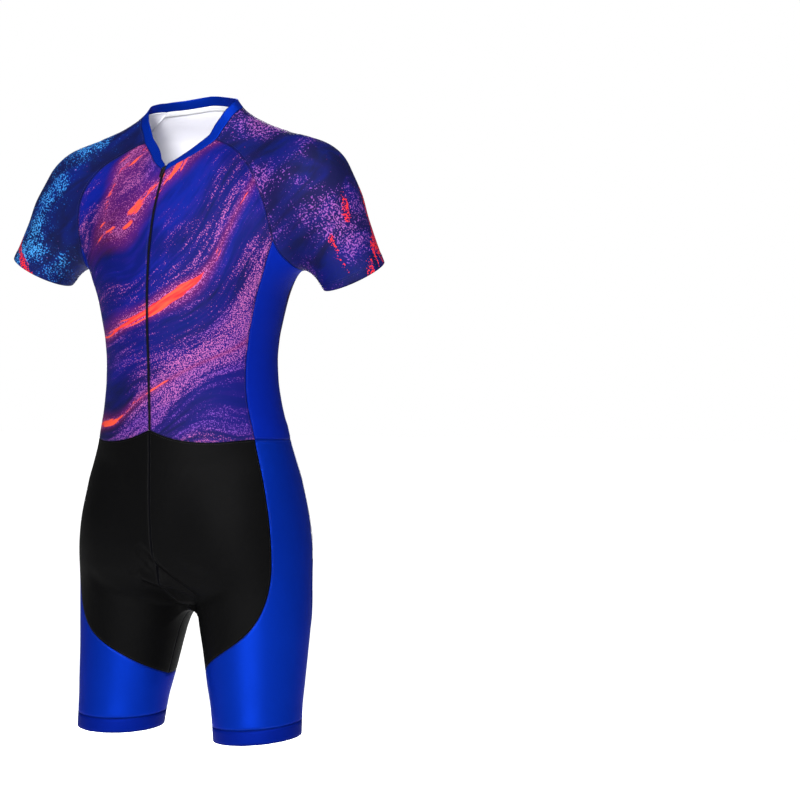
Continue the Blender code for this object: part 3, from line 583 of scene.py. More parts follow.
def away_from(lines, points):
    """How far each point is from the nearest of some lines."""
    tree = searchable([mark for line in lines for mark in spaced(line, MARK_STEP)])
    return np.array([tree.find(point)[2] for point in points])


print("cut edges are marked every", MARK_STEP * 1000, "mm")

# %% [markdown]
# Each fine point carries the height of the wall above the figure, so a collar stands as far
# off the neck as its wall does. Points inside a piece are evened out before they are rounded,
# because one that lies too near the rim would fold the cloth there. Corners of the rim are
# creased, so that the seams still close where three pieces meet. Every main piece dips a
# little towards its seams, and a cuff's turned hem stands a little proud.

# %% Fine points on the figure
EDGE = "edge"
SEAM_DIP, SEAM_SOFT = 0.0003, 0.0018
CORNER = math.radians(25)
EVEN_ROUNDS = 6
HEM_DEEP, HEM_STEP, HEM_SOFT = 0.0125, 0.0004, 0.002


def lowest(lines):
    """A sleeve's cuff is its lowest cut edge."""
    return min(lines, key=lambda line: line[:, 2].mean())


def keep_corners(skin):
    """Marks the points where a cut edge turns sharply, so that rounding leaves them in place."""
    crease = skin.verts.layers.float.new("crease_vert")
    for vert in skin.verts:
        ends = [edge.other_vert(vert).co - vert.co for edge in vert.link_edges if edge.is_boundary]
        if len(ends) == 2 and ends[0].angle(-ends[1]) > CORNER:
            vert[crease] = 1.0


def rounded(name, skin, steps):
    """The skin after Subdivision Surface."""
    coarse = in_scene(name, bpy.data.meshes.new(name))
    skin.to_mesh(coarse.data)
    rounding = coarse.modifiers.new("round", "SUBSURF")
    rounding.levels = rounding.render_levels = steps
    rounding.boundary_smooth = "PRESERVE_CORNERS"
    seen = coarse.evaluated_get(bpy.context.evaluated_depsgraph_get())
    fine = bpy.data.meshes.new_from_object(seen)
    bpy.data.objects.remove(coarse)
    return fine


def fine_mesh(name, skin, steps):
    """The skin rounded, drawn to the figure, creased, and drawn in a little along its seams."""
    keep_corners(skin)
    height = skin.verts.layers.float.new("height")
    for vert, above in zip(skin.verts, heights_of(skin)):
        vert[height] = above
    if not name.startswith(TRIMS):
        inside = [vert for vert in skin.verts if not vert.is_boundary]
        for _ in range(EVEN_ROUNDS):
            bmesh.ops.smooth_vert(
                skin, verts=inside, factor=0.5, use_axis_x=True, use_axis_y=True, use_axis_z=True
            )
    fine = rounded(name, skin, steps)
    above = np.empty(len(fine.vertices), np.float32)
    fine.attributes["height"].data.foreach_get("value", above)
    fine.attributes.remove(fine.attributes["height"])
    points = drawn_to(points_of(fine), above)
    fine.vertices.foreach_set("co", points.astype(np.float32).ravel())
    lines = rims(fine)
    from_edge = away_from(lines, points)
    moved = creased(points)
    if not name.startswith(TRIMS):
        moved = moved - SEAM_DIP * np.exp(-((from_edge / SEAM_SOFT) ** 2))
    if name.startswith("sleeve"):
        from_cuff = away_from([lowest(lines)], points)
        moved = moved + HEM_STEP * np.clip((HEM_DEEP - from_cuff) / HEM_SOFT, 0, 1)
    points = points + outward(points) * moved[:, None]
    fine.vertices.foreach_set("co", points.astype(np.float32).ravel())
    fine.attributes.new(EDGE, "FLOAT", "POINT").data.foreach_set("value", from_edge.astype(np.float32))
    fine.update()
    fine.shade_smooth()
    knit_map(fine, name)
    return fine


FINER = ("sleeve", "shorts", "seat", "front", "side_panel", "collar", "lower")
FINER_STEPS, COMMON_STEPS = 3, 2
fine_meshes = {}
for name, skin in skins.items():
    steps = FINER_STEPS if name.startswith(FINER) else COMMON_STEPS
    fine_meshes[name] = fine_mesh(name, skin, steps)
    print(f"{name}: {len(fine_meshes[name].polygons)} squares, {len(rims(fine_meshes[name]))} cut edges")

# %% [markdown]
# ## Finishes
# A finish is a small tree of shader nodes. Two helpers keep each tree short: one makes a
# node and joins its inputs, and one does a sum. Every pattern is laid out in metres, either
# on the object's own coordinates or on the knit map, so it keeps its scale on every piece.

# %% Helpers for shader trees


def node(tree, kind, settings=(), **inputs):
    """A shader node with its settings and inputs, each input a value or a socket."""
    made = tree.nodes.new("ShaderNode" + kind)
    for key, value in dict(settings).items():
        setattr(made, key, value)
    for key, value in inputs.items():
        join(tree, made.inputs[key.replace("_", " ")], value)
    return made


def join(tree, socket, value):
    """Links a socket to an input, or sets the input to a plain value."""
    if isinstance(value, bpy.types.NodeSocket):
        tree.links.new(value, socket)
    else:
        socket.default_value = value


def sums(tree, operation, a, b=0.0, c=0.0):
    """One sum of two or three values."""
    made = node(tree, "Math", {"operation": operation})
    for socket, value in zip(made.inputs, (a, b, c)):
        join(tree, socket, value)
    return made.outputs[0]


def mixed(tree, share, a, b):
    """A colour between two colours."""
    made = node(tree, "Mix", {"data_type": "RGBA"})
    for socket, value in zip((made.inputs[0], made.inputs[6], made.inputs[7]), (share, a, b)):
        join(tree, socket, value if isinstance(value, (bpy.types.NodeSocket, float)) else (*value, 1))
    return made.outputs[2]


def stepped(tree, value, start, end):
    """0 below start, 1 above end, smooth between them. With start above end, it falls."""
    made = node(tree, "MapRange", {"interpolation_type": "SMOOTHSTEP"})
    low, high = (0, 1) if start < end else (1, 0)
    for socket, at in zip(made.inputs, (value, min(start, end), max(start, end), low, high)):
        join(tree, socket, at)
    return made.outputs[0]


def noise(tree, where, scale, detail=2.0, distortion=0.0):
    """Clouds of noise between 0 and 1."""
    made = node(tree, "TexNoise", Vector=where, Scale=scale, Detail=detail, Distortion=distortion)
    return made.outputs[0]


def raised(tree, shader, height, strength, depth):
    """Gives a shader its bump."""
    bump = node(tree, "Bump", Height=height, Strength=strength, Distance=depth)
    join(tree, shader.inputs["Normal"], bump.outputs[0])


def cloth_material(name, roughness, gloss, satin=0.0, tint=(1, 1, 1)):
    """Gloss is the strength of the shine, and satin the share of it that takes the yarn's colour."""
    made = bpy.data.materials.new(name)
    made.use_nodes = True
    tree = made.node_tree
    shader = tree.nodes["Principled BSDF"]
    shader.inputs["Roughness"].default_value = roughness
    shader.inputs["Specular IOR Level"].default_value = gloss
    shader.inputs["Specular Tint"].default_value = (*tint, 1)
    shader.inputs["Metallic"].default_value = satin
    return made, tree, shader


def own_place(tree):
    """The object's own coordinates, in metres."""
    return node(tree, "TexCoord").outputs["Object"]


def parts(tree, where):
    """The three numbers of a place."""
    return node(tree, "SeparateXYZ", Vector=where).outputs


def stretched(tree, turn, scale, place=(0, 0, 0)):
    """The object's own coordinates, turned and squeezed."""
    turned = tuple(map(math.radians, turn))
    laid = node(tree, "Mapping", Vector=own_place(tree), Rotation=turned, Location=place)
    return node(tree, "Mapping", Vector=laid.outputs[0], Scale=scale).outputs[0]


SHADE_STARTS, SHADE_FULL = 0.0016, 0.0003
SHADE = (0.0, 0.0, 0.004)


def from_edge(tree):
    """How far the place is from the piece's cut edge."""
    return node(tree, "Attribute", {"attribute_name": EDGE}).outputs["Fac"]


def seam_shade(tree, colour, deep=0.25):
    """The colour, darker just before a seam, where thread and shadow gather."""
    share = sums(tree, "MULTIPLY", stepped(tree, from_edge(tree), SHADE_STARTS, SHADE_FULL), deep)
    return mixed(tree, share, colour, SHADE)


print("seams darken over", SHADE_STARTS * 1000, "mm")

# %% [markdown]
# Stretch cloth is a fine warp knit: upright columns of loops well under a millimetre wide.
# The loops are far too many to model, so they are a bump. Columns come from a sine of the
# way round, and each loop from a sine of the way along, turned half a step in every other
# column.

# %% The knit bump
COLUMN_PITCH = 0.00085
LOOP_PITCH = 0.00070
KNIT_DEPTH = 0.00012
LOOP_SHARE, SLUB_SHARE, SLUB_SCALE = 0.5, 1.2, 900.0


def knit_bump(tree, shader, strength):
    """Bumps a cloth with its loops, and gives back the knit's map and its height."""
    where = node(tree, "UVMap", {"uv_map": KNIT_MAP}).outputs[0]
    across, along, _ = parts(tree, where)
    columns = sums(tree, "SINE", sums(tree, "MULTIPLY", across, 2 * math.pi / COLUMN_PITCH))
    half_step = sums(tree, "MULTIPLY", across, math.pi / COLUMN_PITCH)
    turn = sums(tree, "MULTIPLY_ADD", along, 2 * math.pi / LOOP_PITCH, half_step)
    loops = sums(tree, "MULTIPLY", sums(tree, "SINE", turn), LOOP_SHARE)
    height = sums(tree, "ADD", columns, loops)
    height = sums(tree, "MULTIPLY_ADD", noise(tree, where, SLUB_SCALE), SLUB_SHARE, height)
    raised(tree, shader, height, strength, KNIT_DEPTH)
    return where, height


print("columns every", COLUMN_PITCH * 1000, "mm")

# %% [markdown]
# The printed cloth starts white and takes a heat-transferred picture. This one is a plain
# marbled pattern of wide arcs, all swept round one centre beyond the shoulder, as a comb
# drawn through floating paint would leave them. Laying noise out in distance and turn from
# that centre, and squeezing the distance, gives brushed strokes that bend. The front and the
# back are mirrored, as two halves of one print would be.

# %% Coordinates swept round a centre
SWEEP_CENTRE = (-0.42, 0.30)
FRONT_ENDS, BACK_STARTS = -0.001, 0.001
WANDER_SCALE, WANDER = 4.5, 0.16
BACK_PLACE = 7.0


def placed_at(tree, x, y, z):
    return node(tree, "CombineXYZ", X=x, Y=y, Z=z).outputs[0]


def swept(tree):
    """Each point's distance and turn from the centre of the arcs, and whether it is behind."""
    where = own_place(tree)
    x, y, z = parts(tree, where)
    behind = stepped(tree, y, FRONT_ENDS, BACK_STARTS)
    mirror = sums(tree, "MULTIPLY_ADD", behind, -2.0, 1.0)
    across = sums(tree, "MULTIPLY_ADD", x, mirror, -SWEEP_CENTRE[0])
    up = sums(tree, "SUBTRACT", z, SWEEP_CENTRE[1])
    flat = placed_at(tree, across, up, 0.0)
    straight = node(tree, "VectorMath", {"operation": "LENGTH"}, Vector=flat).outputs["Value"]
    reach = sums(tree, "MULTIPLY_ADD", noise(tree, where, WANDER_SCALE, 1.0), WANDER, straight)
    return reach, sums(tree, "ARCTAN2", up, across), behind


def strokes(tree, sweep, across, along, place, detail, distortion):
    """Noise squeezed across the arcs and drawn out along them."""
    reach, turn, behind = sweep
    where = placed_at(
        tree, sums(tree, "MULTIPLY_ADD", reach, across, place),
        sums(tree, "MULTIPLY", turn, along), sums(tree, "MULTIPLY_ADD", behind, BACK_PLACE, place),
    )
    return noise(tree, where, 1.0, detail, distortion)


print("arcs round", SWEEP_CENTRE)

# %% [markdown]
# The paint is built from the ground up: night and ultramarine strokes, then drifts of violet
# haze under a stipple of plum and rose grains, and last a few coral ribbons with brushed
# edges, each in an ember haze of its own. Noise cut at a level gives the grains, because its
# blobs run together into the short worms that sprayed drops make. Each layer's row gives how
# fine it is across and along the arcs, its place in the noise, its detail and its distortion.

# %% The marbled print
NIGHT = (0.0030, 0.0042, 0.034)
ULTRAMARINE = (0.0016, 0.0045, 0.092)
ROYAL = (0.0012, 0.0075, 0.165)
VIOLET = (0.018, 0.0050, 0.105)
PLUM = (0.110, 0.038, 0.270)
ROSE = (0.330, 0.085, 0.260)
EMBER = (0.110, 0.0060, 0.050)
CORAL = (0.56, 0.018, 0.024)
ORANGE = (0.62, 0.062, 0.034)
GRAIN = 640.0
BARE_LEVEL, COVER_DROP = 0.80, -0.30
GRAIN_EDGE = -0.02, 0.06
LAYERS = {
    "bands": (13.0, 2.3, 0.3, 3.0, 0.4),
    "fibres": (190.0, 16.0, 0.7, 4.0, 0.0),
    "drifts": (10.0, 1.8, 4.2, 2.0, 0.4),
    "warmth": (20.0, 3.4, 8.5, 2.0, 0.0),
    "flow": (9.0, 1.1, 6.6, 1.5, 0.3),
    "patches": (4.5, 2.0, 2.9, 1.0, 0.0),
}
RIBBON_WIDTH, RIBBON_FRAY = 0.060, 0.17


def grains(tree, cover, scale=GRAIN):
    """Small blobs, where cover from 0 to 1 says how much of the cloth they fill."""
    level = sums(tree, "MULTIPLY_ADD", cover, COVER_DROP, BARE_LEVEL)
    over = sums(tree, "SUBTRACT", noise(tree, own_place(tree), scale, 1.0), level)
    return stepped(tree, over, *GRAIN_EDGE)


def marbled(tree):
    """The print's colour."""
    sweep = swept(tree)
    bands, fibres, drifts, warmth, flow, patches = (
        strokes(tree, sweep, *layer) for layer in LAYERS.values()
    )
    fibre = sums(tree, "SUBTRACT", fibres, 0.5)
    level = sums(tree, "MULTIPLY_ADD", fibre, 0.30, bands)
    colour = mixed(tree, stepped(tree, level, 0.30, 0.50), NIGHT, ULTRAMARINE)
    colour = mixed(tree, stepped(tree, level, 0.50, 0.66), colour, ROYAL)
    misted = sums(tree, "MULTIPLY_ADD", fibre, 0.45, drifts)
    cover = stepped(tree, misted, 0.40, 0.66)
    colour = mixed(tree, sums(tree, "MULTIPLY", cover, 0.70), colour, VIOLET)
    grain = mixed(tree, stepped(tree, warmth, 0.40, 0.62), PLUM, ROSE)
    colour = mixed(tree, sums(tree, "MULTIPLY", grains(tree, cover), 0.95), colour, grain)
    off_flow = sums(tree, "ABSOLUTE", sums(tree, "SUBTRACT", flow, 0.5))
    width = sums(tree, "MULTIPLY", stepped(tree, patches, 0.46, 0.66), RIBBON_WIDTH)
    inside = sums(tree, "SUBTRACT", width, off_flow)
    ragged = sums(tree, "MULTIPLY_ADD", sums(tree, "SUBTRACT", fibres, 0.55), RIBBON_FRAY, inside)
    halo = stepped(tree, inside, -0.065, 0.025)
    colour = mixed(tree, sums(tree, "MULTIPLY", halo, 0.7), colour, EMBER)
    colour = mixed(tree, sums(tree, "MULTIPLY", grains(tree, halo), halo), colour, ROSE)
    ribbon = mixed(tree, stepped(tree, fibres, 0.45, 0.66), CORAL, ORANGE)
    return mixed(tree, stepped(tree, ragged, 0.0, 0.014), colour, ribbon)


def printed_knit():
    made, tree, shader = cloth_material("printed_knit", roughness=0.55, gloss=0.05)
    knit_bump(tree, shader, strength=0.30)
    join(tree, shader.inputs["Base Color"], seam_shade(tree, marbled(tree)))
    return made


print(len(LAYERS), "layers of paint, grains every", round(1000 / GRAIN, 1), "mm")

# %% [markdown]
# The sleeves are cut from a second print of the same family: a night ground under a coarser
# stipple, blue on the right arm and plum on the left. Soft clouds say where the grains gather,
# and the grains' own colour drifts from dark to light with them. A few coral grains lie near
# the outer side of each cuff.

# %% The sleeves' print
NAVY = (0.0025, 0.0060, 0.075)
CYAN, SKY = (0.004, 0.060, 0.30), (0.045, 0.26, 0.60)
DARK_HAZE = (0.003, 0.018, 0.12)
SLEEVE_GRAIN = 440.0
SIDES_MEET = -0.02, 0.02
OUTER_STARTS, OUTER_FULL = 0.225, 0.275


def clouds(tree, turn, scale, place, detail, distortion):
    return noise(tree, stretched(tree, turn, scale, place), 1.0, detail, distortion)


def sleeve_knit():
    made, tree, shader = cloth_material("sleeve_knit", roughness=0.55, gloss=0.05)
    knit_bump(tree, shader, strength=0.30)
    x = parts(tree, own_place(tree))[0]
    side = stepped(tree, x, *SIDES_MEET)
    cloud = clouds(tree, (0, 35, 0), (11, 9, 15), (0.06, 0.02, 0.03), 3.0, 0.5)
    swirl = clouds(tree, (0, -50, 0), (34, 26, 9), (0.1, 0, 0.4), 3.0, 0.8)
    colour = mixed(tree, stepped(tree, swirl, 0.38, 0.62), NIGHT, NAVY)
    streak = sums(tree, "MULTIPLY", stepped(tree, swirl, 0.56, 0.66), 0.6)
    colour = mixed(tree, streak, colour, ULTRAMARINE)
    cover = stepped(tree, sums(tree, "MULTIPLY_ADD", swirl, 0.25, cloud), 0.45, 0.82)
    dark = mixed(tree, side, CYAN, PLUM)
    light = mixed(tree, side, SKY, mixed(tree, 0.45, ROSE, PLUM))
    grain = mixed(tree, stepped(tree, cloud, 0.46, 0.70), dark, light)
    haze = mixed(tree, side, DARK_HAZE, VIOLET)
    colour = mixed(tree, sums(tree, "MULTIPLY", cover, 0.35), colour, haze)
    colour = mixed(tree, sums(tree, "MULTIPLY", grains(tree, cover, SLEEVE_GRAIN), 0.95), colour, grain)
    licks = clouds(tree, (0, 28, 0), (44, 30, 8), (0.31, 0.1, 0.2), 2.0, 0.4)
    outer = stepped(tree, sums(tree, "ABSOLUTE", x), OUTER_STARTS, OUTER_FULL)
    shown = stepped(tree, sums(tree, "MULTIPLY_ADD", outer, 0.15, licks), 0.66, 0.80)
    colour = mixed(tree, grains(tree, sums(tree, "MULTIPLY", shown, 1.2), SLEEVE_GRAIN), colour, CORAL)
    join(tree, shader.inputs["Base Color"], seam_shade(tree, colour))
    return made


print("sleeve grains every", round(1000 / SLEEVE_GRAIN, 1), "mm")

# %% [markdown]
# The plain cloths are dyed elastane. Blue and black differ in more than colour: the blue is
# a satin knit, whose shine takes the yarn's colour and draws a broad bright band down the
# leg, and the black is a duller, heavier knit. Part of the blue's shine is given as Metallic,
# because that is the shader's own way of colouring a reflection. Slow noise varies each a
# little, as dye and wear do.

# %% The plain knits


def plain_knit(
    name, dark, light, roughness=0.6, gloss=0.1, bump=0.35, satin=0.0, tint=(1, 1, 1), deep=0.25
):
    """A dyed knit between two colours. Deep is how dark it gets at a seam."""
    made, tree, shader = cloth_material(name, roughness, gloss, satin, tint)
    where, height = knit_bump(tree, shader, bump)
    slow = noise(tree, stretched(tree, (0, 0, 0), (9, 9, 3)), 1.0)
    fine = noise(tree, where, 420.0)
    share = sums(tree, "MULTIPLY_ADD", fine, 0.35, sums(tree, "MULTIPLY", slow, 0.9))
    share = sums(tree, "MULTIPLY_ADD", height, 0.05, sums(tree, "SUBTRACT", share, 0.12))
    join(tree, shader.inputs["Base Color"], seam_shade(tree, mixed(tree, share, dark, light), deep))
    return made


CHARCOALS = (0.0050, 0.0045, 0.010), (0.0085, 0.0075, 0.016)
WELT = (0.030, 0.030, 0.048)
WELT_BELOW, WELT_FULL = -0.490, -0.500
WELT_ENDS, WELT_INSIDE = 0.0036, 0.0030


def charcoal_knit():
    """The lower back's cloth, with a slim paler welt along its lower edge."""
    made = plain_knit("charcoal_knit", *CHARCOALS, roughness=0.6, gloss=0.08)
    tree = made.node_tree
    shader = tree.nodes["Principled BSDF"]
    plain = shader.inputs["Base Color"].links[0].from_socket
    low = stepped(tree, parts(tree, own_place(tree))[2], WELT_BELOW, WELT_FULL)
    welt = sums(tree, "MULTIPLY", stepped(tree, from_edge(tree), WELT_ENDS, WELT_INSIDE), low)
    join(tree, shader.inputs["Base Color"], mixed(tree, welt, plain, WELT))
    return made


BLUE_SHINE = (0.05, 0.25, 1.0)
LEG_BLUES = (0.0010, 0.0140, 0.215), (0.0014, 0.0200, 0.270)
SIDE_BLUES = (0.0012, 0.0090, 0.190), (0.0016, 0.0130, 0.240)
BAND_BLUES = (0.0008, 0.0060, 0.130), (0.0012, 0.0090, 0.165)
SHORTS_BLACKS = (0.0008, 0.0008, 0.0009), (0.0020, 0.0020, 0.0022)
TAPE_BLACKS = (0.0010, 0.0010, 0.002), (0.0035, 0.0035, 0.006)
TAPE_WHITES = (0.66, 0.66, 0.70), (0.86, 0.86, 0.88)
PIPING_GREYS = (0.40, 0.40, 0.44), (0.75, 0.75, 0.80)
INSIDE_WHITES = (0.84, 0.83, 0.92), (0.93, 0.93, 0.98)

# For each plain knit: its two colours, roughness, gloss, bump, satin and tint.
PLAIN = {
    "side_knit": (*SIDE_BLUES, 0.5, 0.05, 0.25, 0.3, BLUE_SHINE),
    "blue_knit": (*LEG_BLUES, 0.40, 0.05, 0.2, 0.5, BLUE_SHINE),
    "gripper_knit": (*BAND_BLUES, 0.5, 0.05, 0.3, 0.3, BLUE_SHINE),
    "black_knit": (*SHORTS_BLACKS, 0.50, 0.03, 0.35),
    "white_tape": (*TAPE_WHITES, 0.7, 0.1, 0.5),
    "reflective_tape": (*PIPING_GREYS, 0.35, 0.5, 0.5),
    "black_tape": (*TAPE_BLACKS, 0.6, 0.05, 0.6),
}
MATERIALS = {
    "printed_knit": printed_knit(), "sleeve_knit": sleeve_knit(), "charcoal_knit": charcoal_knit(),
    **{name: plain_knit(name, *finish) for name, finish in PLAIN.items()},
}
WHITE_INSIDE = plain_knit(
    "white_inside", *INSIDE_WHITES, roughness=0.75, gloss=0.1, bump=0.3, deep=0.08
)
print(len(MATERIALS), "cloths and a white inside")

# %% [markdown]
# ## Shells
# The fine skin becomes a shell with live Solidify: the cloth's own thickness, inwards, with
# a second material for the inside where the print shows white through. Each piece stands
# for its wall and rides on the suit.

# %% Make every piece
SHELL = 0.0012
SLOTS = {
    "front_panel": "printed_knit", "back_panel": "printed_knit", "sleeve": "sleeve_knit",
    "side_panel": "side_knit", "leg_panel": "blue_knit", "collar_band": "blue_knit",
    "leg_band": "gripper_knit", "shorts_front": "black_knit", "seat_panel": "black_knit",
    "lower_back_panel": "charcoal_knit", "neck_tape": "white_tape",
    "side_piping": "reflective_tape", "zip_tape": "black_tape",
}
THIN = {"neck_tape": 0.0006, "side_piping": 0.0004, "zip_tape": 0.0007}
WHITE_SIDED = ("front_panel", "back_panel", "sleeve", "side_panel")
pieces = {}


def cut_of(name):
    """A piece's name without its side."""
    return name.removesuffix("_left").removesuffix("_right")


for name, mesh in fine_meshes.items():
    cut = cut_of(name)
    piece = in_scene("cloth_" + name, mesh)
    outside = MATERIALS[SLOTS[cut]]
    mesh.materials.clear()
    mesh.materials.append(outside)
    mesh.materials.append(WHITE_INSIDE if cut in WHITE_SIDED else outside)
    shell = piece.modifiers.new("shell", "SOLIDIFY")
    shell.thickness = THIN.get(cut, SHELL)
    shell.offset = -1
    shell.material_offset = 1
    shell.material_offset_rim = 0
    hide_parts(name)
    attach(piece, "suit")
    pieces[name] = piece
print(len(pieces), "shells,", SHELL * 1000, "mm thick, trims thinner")

# %% [markdown]
# ## Stitching
# A stretch garment is sewn with a coverstitch, which shows as a row of short threads on each
# side of a seam. A row could be a picture on the cloth, but real thread catches light, so it is
# modelled. One bevelled curve follows the cut edge at a small distance, and dips under the cloth
# between stitches, which costs few faces. Its points are found by walking round each piece's
# rim and stepping sideways over the cloth. The cuffs have their row over the turned hem. Where
# two cut edges meet, the overlocked allowance behind them closes the gap: a thicker thread is
# laid under the edge there, and left out along open edges. Behind the printed pieces it is
# covered with white, as their cloth is.

# %% Where the thread runs
STITCH, THREAD = 0.0028, 0.00015
LIFTS = (-0.00028, 0.00010, 0.00013, -0.00022)
ROW_IN = 0.0022
CLEAR_SHARE, FEWEST_STITCHES, LOOK_ALONG = 0.93, 3, 3
OVERLOCK, OVERLOCK_SINK, SEAM_REACH = 4.6, 0.0010, 0.0026
OVERLOCK_STEP, SEAM_STEP = 0.003, 0.001
LINING, LINING_SINK = 6.0, 0.0018
HEM_ROWS = (HEM_DEEP - 0.0008, HEM_DEEP - 0.0034)


def row_beside(line, lines, distance, surface):
    """The runs of a row of stitches at a distance from one cut edge, each a list of points."""
    edge = spaced(line, STITCH / len(LIFTS))
    way = np.roll(edge[:-1], -LOOK_ALONG, 0) - np.roll(edge[:-1], LOOK_ALONG, 0)
    inward = np.cross(outward(edge[:-1]), way)
    row = edge[:-1] + distance * inward / np.linalg.norm(inward, axis=1)[:, None]
    clear = away_from(lines, row) > CLEAR_SHARE * distance
    runs = [[]]
    for number, (point, kept) in enumerate(zip(row, clear)):
        if kept:
            place, normal, *_ = surface.find_nearest(Vector(point))
            runs[-1].append(place + normal * LIFTS[number % len(LIFTS)])
        elif runs[-1]:
            runs.append([])
    return [run for run in runs if len(run) > FEWEST_STITCHES * len(LIFTS)]


def overlock_under(line, others, sink):
    """The runs of thread under one cut edge, where it lies against another piece's edge."""
    edge = spaced(line, OVERLOCK_STEP)
    runs = [[]]
    for point, under in zip(edge, edge - sink * outward(edge)):
        if others.find(point)[2] < SEAM_REACH:
            runs[-1].append(under)
        elif runs[-1]:
            runs.append([])
    return [run for run in runs if len(run) > 2]


print("a stitch every", STITCH * 1000, "mm")

# %% Thread


def thread_piece(name, rows, seams, lining, finish):
    """Thread along every run, thicker along the seams and white behind them, as one mesh."""
    curve = bpy.data.curves.new(name, "CURVE")
    curve.dimensions = "3D"
    curve.bevel_depth, curve.bevel_resolution = THREAD, 0
    curve.use_fill_caps = True
    for made in (finish, WHITE_THREAD):
        curve.materials.append(made)
    thick_runs = [(run, OVERLOCK, 0) for run in seams] + [(run, LINING, 1) for run in lining]
    for run, thick, colour in [(run, 1.0, 0) for run in rows] + thick_runs:
        spline = curve.splines.new("POLY")
        spline.material_index = colour
        spline.points.add(len(run) - 1)
        spline.points.foreach_set("co", np.array([(*point, 1) for point in run]).ravel())
        spline.points.foreach_set("radius", [thick] * len(run))
    drawn = in_scene(name, curve)
    mesh = bpy.data.meshes.new_from_object(drawn.evaluated_get(bpy.context.evaluated_depsgraph_get()))
    bpy.data.objects.remove(drawn)
    mesh.shade_smooth()
    return in_scene(name, mesh)


FINE_DEPTH = 0.00005
PLY_TURN, PLY_SCALE = (20, 35, 50), 900.0


def thread_material(name, dark, light):
    """Twisted polyester thread: fine slanting plies across an even colour."""
    made, tree, shader = cloth_material(name, roughness=0.45, gloss=0.3)
    where = stretched(tree, PLY_TURN, (1, 1, 1))
    slanting = {"bands_direction": "DIAGONAL"}
    plies = node(tree, "TexWave", slanting, Vector=where, Scale=PLY_SCALE, Distortion=2.0).outputs["Fac"]
    join(tree, shader.inputs["Base Color"], mixed(tree, plies, dark, light))
    raised(tree, shader, plies, strength=0.4, depth=FINE_DEPTH)
    return made


THREADS = {
    "night_thread": thread_material("night_thread", (0.003, 0.004, 0.03), (0.010, 0.012, 0.09)),
    "blue_thread": thread_material("blue_thread", (0.001, 0.010, 0.13), (0.003, 0.025, 0.24)),
    "black_thread": thread_material("black_thread", (0.0012, 0.0012, 0.0015), (0.0045, 0.0045, 0.0055)),
}
WHITE_THREAD = thread_material("white_thread", (0.62, 0.61, 0.68), (0.86, 0.86, 0.92))
SEWN_WITH = {
    "front_panel": "night_thread", "back_panel": "night_thread", "sleeve": "night_thread",
    "side_panel": "blue_thread", "leg_panel": "blue_thread", "shorts_front": "black_thread",
    "seat_panel": "black_thread", "lower_back_panel": "black_thread",
}
print(len(THREADS), "threads for the rows and a white one for the inside")

# %% Sew the rows
sewn = {}
piece_rims = {name: rims(mesh) for name, mesh in fine_meshes.items()}
for name, mesh in fine_meshes.items():
    cut = cut_of(name)
    if cut not in SEWN_WITH:
        continue
    copy = bmesh.new()
    copy.from_mesh(mesh)
    surface = BVHTree.FromBMesh(copy)
    copy.free()
    lines = piece_rims[name]
    others = searchable([
        mark for other, theirs in piece_rims.items() if other != name
        for line in theirs for mark in spaced(line, SEAM_STEP)
    ])
    seams = [run for line in lines for run in overlock_under(line, others, OVERLOCK_SINK)]
    lining = [
        run for line in lines for run in overlock_under(line, others, LINING_SINK)
        if cut in WHITE_SIDED
    ]
    cuff = lowest(lines) if cut == "sleeve" else None
    runs = []
    for line in lines:
        for distance in HEM_ROWS if line is cuff else (ROW_IN,):
            runs += row_beside(line, lines, distance, surface)
    sewn[name] = thread_piece("stitches_" + name, runs, seams, lining, THREADS[SEWN_WITH[cut]])
    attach(sewn[name], "suit")
    print(f"{name}: {sum(map(len, runs)) // len(LIFTS)} stitches, {len(seams)} overlocked seams")

# %% [markdown]
# Each cut piece is cloth held stretched over the body's form. Its stitches, and a leg
# panel's piping, are gathered here as its trims.

# %% Each piece's trims


for name, piece in pieces.items():
    cut = cut_of(name)
    if cut == "side_piping":
        continue
    trims = [sewn[name]] if name in sewn else []
    if cut == "leg_panel":
        trims.append(pieces[name.replace("leg_panel", "side_piping")])

# %% [markdown]
# ## The zip
# A coil zip is two spirals of nylon, sewn to tapes, whose turns lock between each other. At
# this size each turn shows as one short bar across, so a bar is a box with its edges bevelled,
# laid along the slot by hundreds. The left bars stand half a step below the right ones. Each
# bar leans with the zip, because the breast slopes.

# %% Lay the coil's bars
COIL_PITCH = 0.00125
BAR = (0.00125, 0.00078, 0.00066)
BAR_MIDDLE, BAR_SINK, BAR_ROUND = 0.00045, 0.00026, 0.00022
END_GAP = 0.001
BEFORE_BREAST = -0.10
ACROSS = Vector((1, 0, 0))

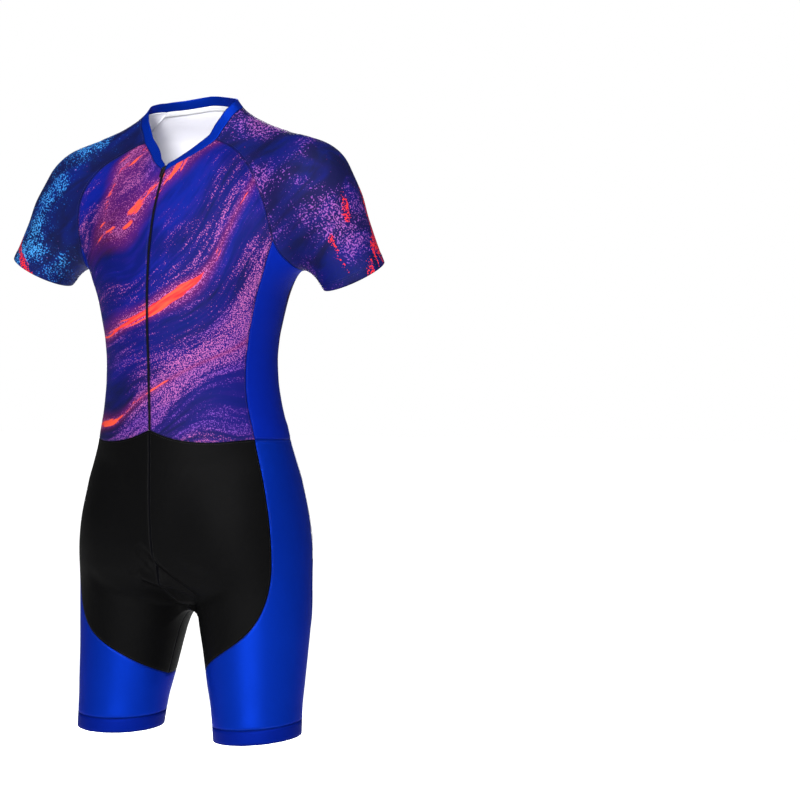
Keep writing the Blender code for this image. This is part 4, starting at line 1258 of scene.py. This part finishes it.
bar = bmesh.new()
bmesh.ops.create_cube(bar, size=1)
bmesh.ops.scale(bar, verts=bar.verts, vec=BAR)
bmesh.ops.bevel(
    bar, geom=bar.edges, offset=BAR_ROUND, segments=1, profile=0.5, affect="EDGES", material=-1
)
bar_mesh = bpy.data.meshes.new("bar")
bar.to_mesh(bar_mesh)
bar.free()
chain_low, chain_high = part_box("zip_chain")
heights = np.arange(chain_low[2] + END_GAP, chain_high[2] - END_GAP, COIL_PITCH / 2)
front = drawn_to(np.array([(0, BEFORE_BREAST, height) for height in heights]), 0.0)
front[:, 0] = 0
coil = bmesh.new()
for number, (place, normal) in enumerate(zip(front, outward(front))):
    up = Vector(normal).cross(ACROSS)
    turned = Matrix((ACROSS, up, normal)).transposed().to_4x4()
    side = 1 if number % 2 else -1
    turned.translation = Vector(place) + side * BAR_MIDDLE * ACROSS - BAR_SINK * Vector(normal)
    copy = bar_mesh.copy()
    copy.transform(turned)
    coil.from_mesh(copy)
    bpy.data.meshes.remove(copy)
zip_coil = in_scene("zip_coil", bpy.data.meshes.new("zip_coil"))
coil.to_mesh(zip_coil.data)
coil.free()
bpy.data.meshes.remove(bar_mesh)
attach(zip_coil, "suit")
print(len(heights), "bars from", round(heights[0], 3), "to", round(heights[-1], 3))

# %% [markdown]
# The slider and its tab are cast and enamelled black. Enamel is smooth, slightly uneven, and
# worn to bare metal in small spots where fingers and the coil rub it. The coil and the core
# under it are dyed nylon, so they share one finish with finer and duller grain.

# %% Finishes of the zip
ENAMEL_BLACK, BARE_METAL = (0.002, 0.002, 0.003), (0.05, 0.05, 0.06)


def enamel(name):
    made, tree, shader = cloth_material(name, roughness=0.32, gloss=0.25)
    where = own_place(tree)
    dimples = noise(tree, where, 900.0, 3.0)
    worn = stepped(tree, noise(tree, where, 520.0, 4.0, 0.6), 0.62, 0.70)
    join(tree, shader.inputs["Base Color"], mixed(tree, worn, ENAMEL_BLACK, BARE_METAL))
    join(tree, shader.inputs["Metallic"], sums(tree, "MULTIPLY", worn, 0.9))
    join(tree, shader.inputs["Roughness"], sums(tree, "MULTIPLY_ADD", dimples, 0.25, 0.2))
    raised(tree, shader, dimples, strength=0.25, depth=FINE_DEPTH)
    return made


def nylon(name, dark, light):
    made, tree, shader = cloth_material(name, roughness=0.5, gloss=0.12)
    drawn = noise(tree, own_place(tree), 1400.0)
    join(tree, shader.inputs["Base Color"], mixed(tree, drawn, dark, light))
    raised(tree, shader, drawn, strength=0.3, depth=FINE_DEPTH)
    return made


coil_nylon = nylon("coil_nylon", (0.0006, 0.0006, 0.001), (0.0022, 0.0022, 0.003))
woven_core = nylon("woven_core", (0.0015, 0.002, 0.008), (0.005, 0.006, 0.020))
enamelled_metal = enamel("enamelled_metal")
zip_coil.data.materials.append(coil_nylon)
for name, finish in zip(HARD_NODES, (woven_core, enamelled_metal, enamelled_metal)):
    for place in nodes[name].material_slots:
        place.material = finish
    print(name, "takes", finish.name, "in", len(nodes[name].material_slots), "slots")
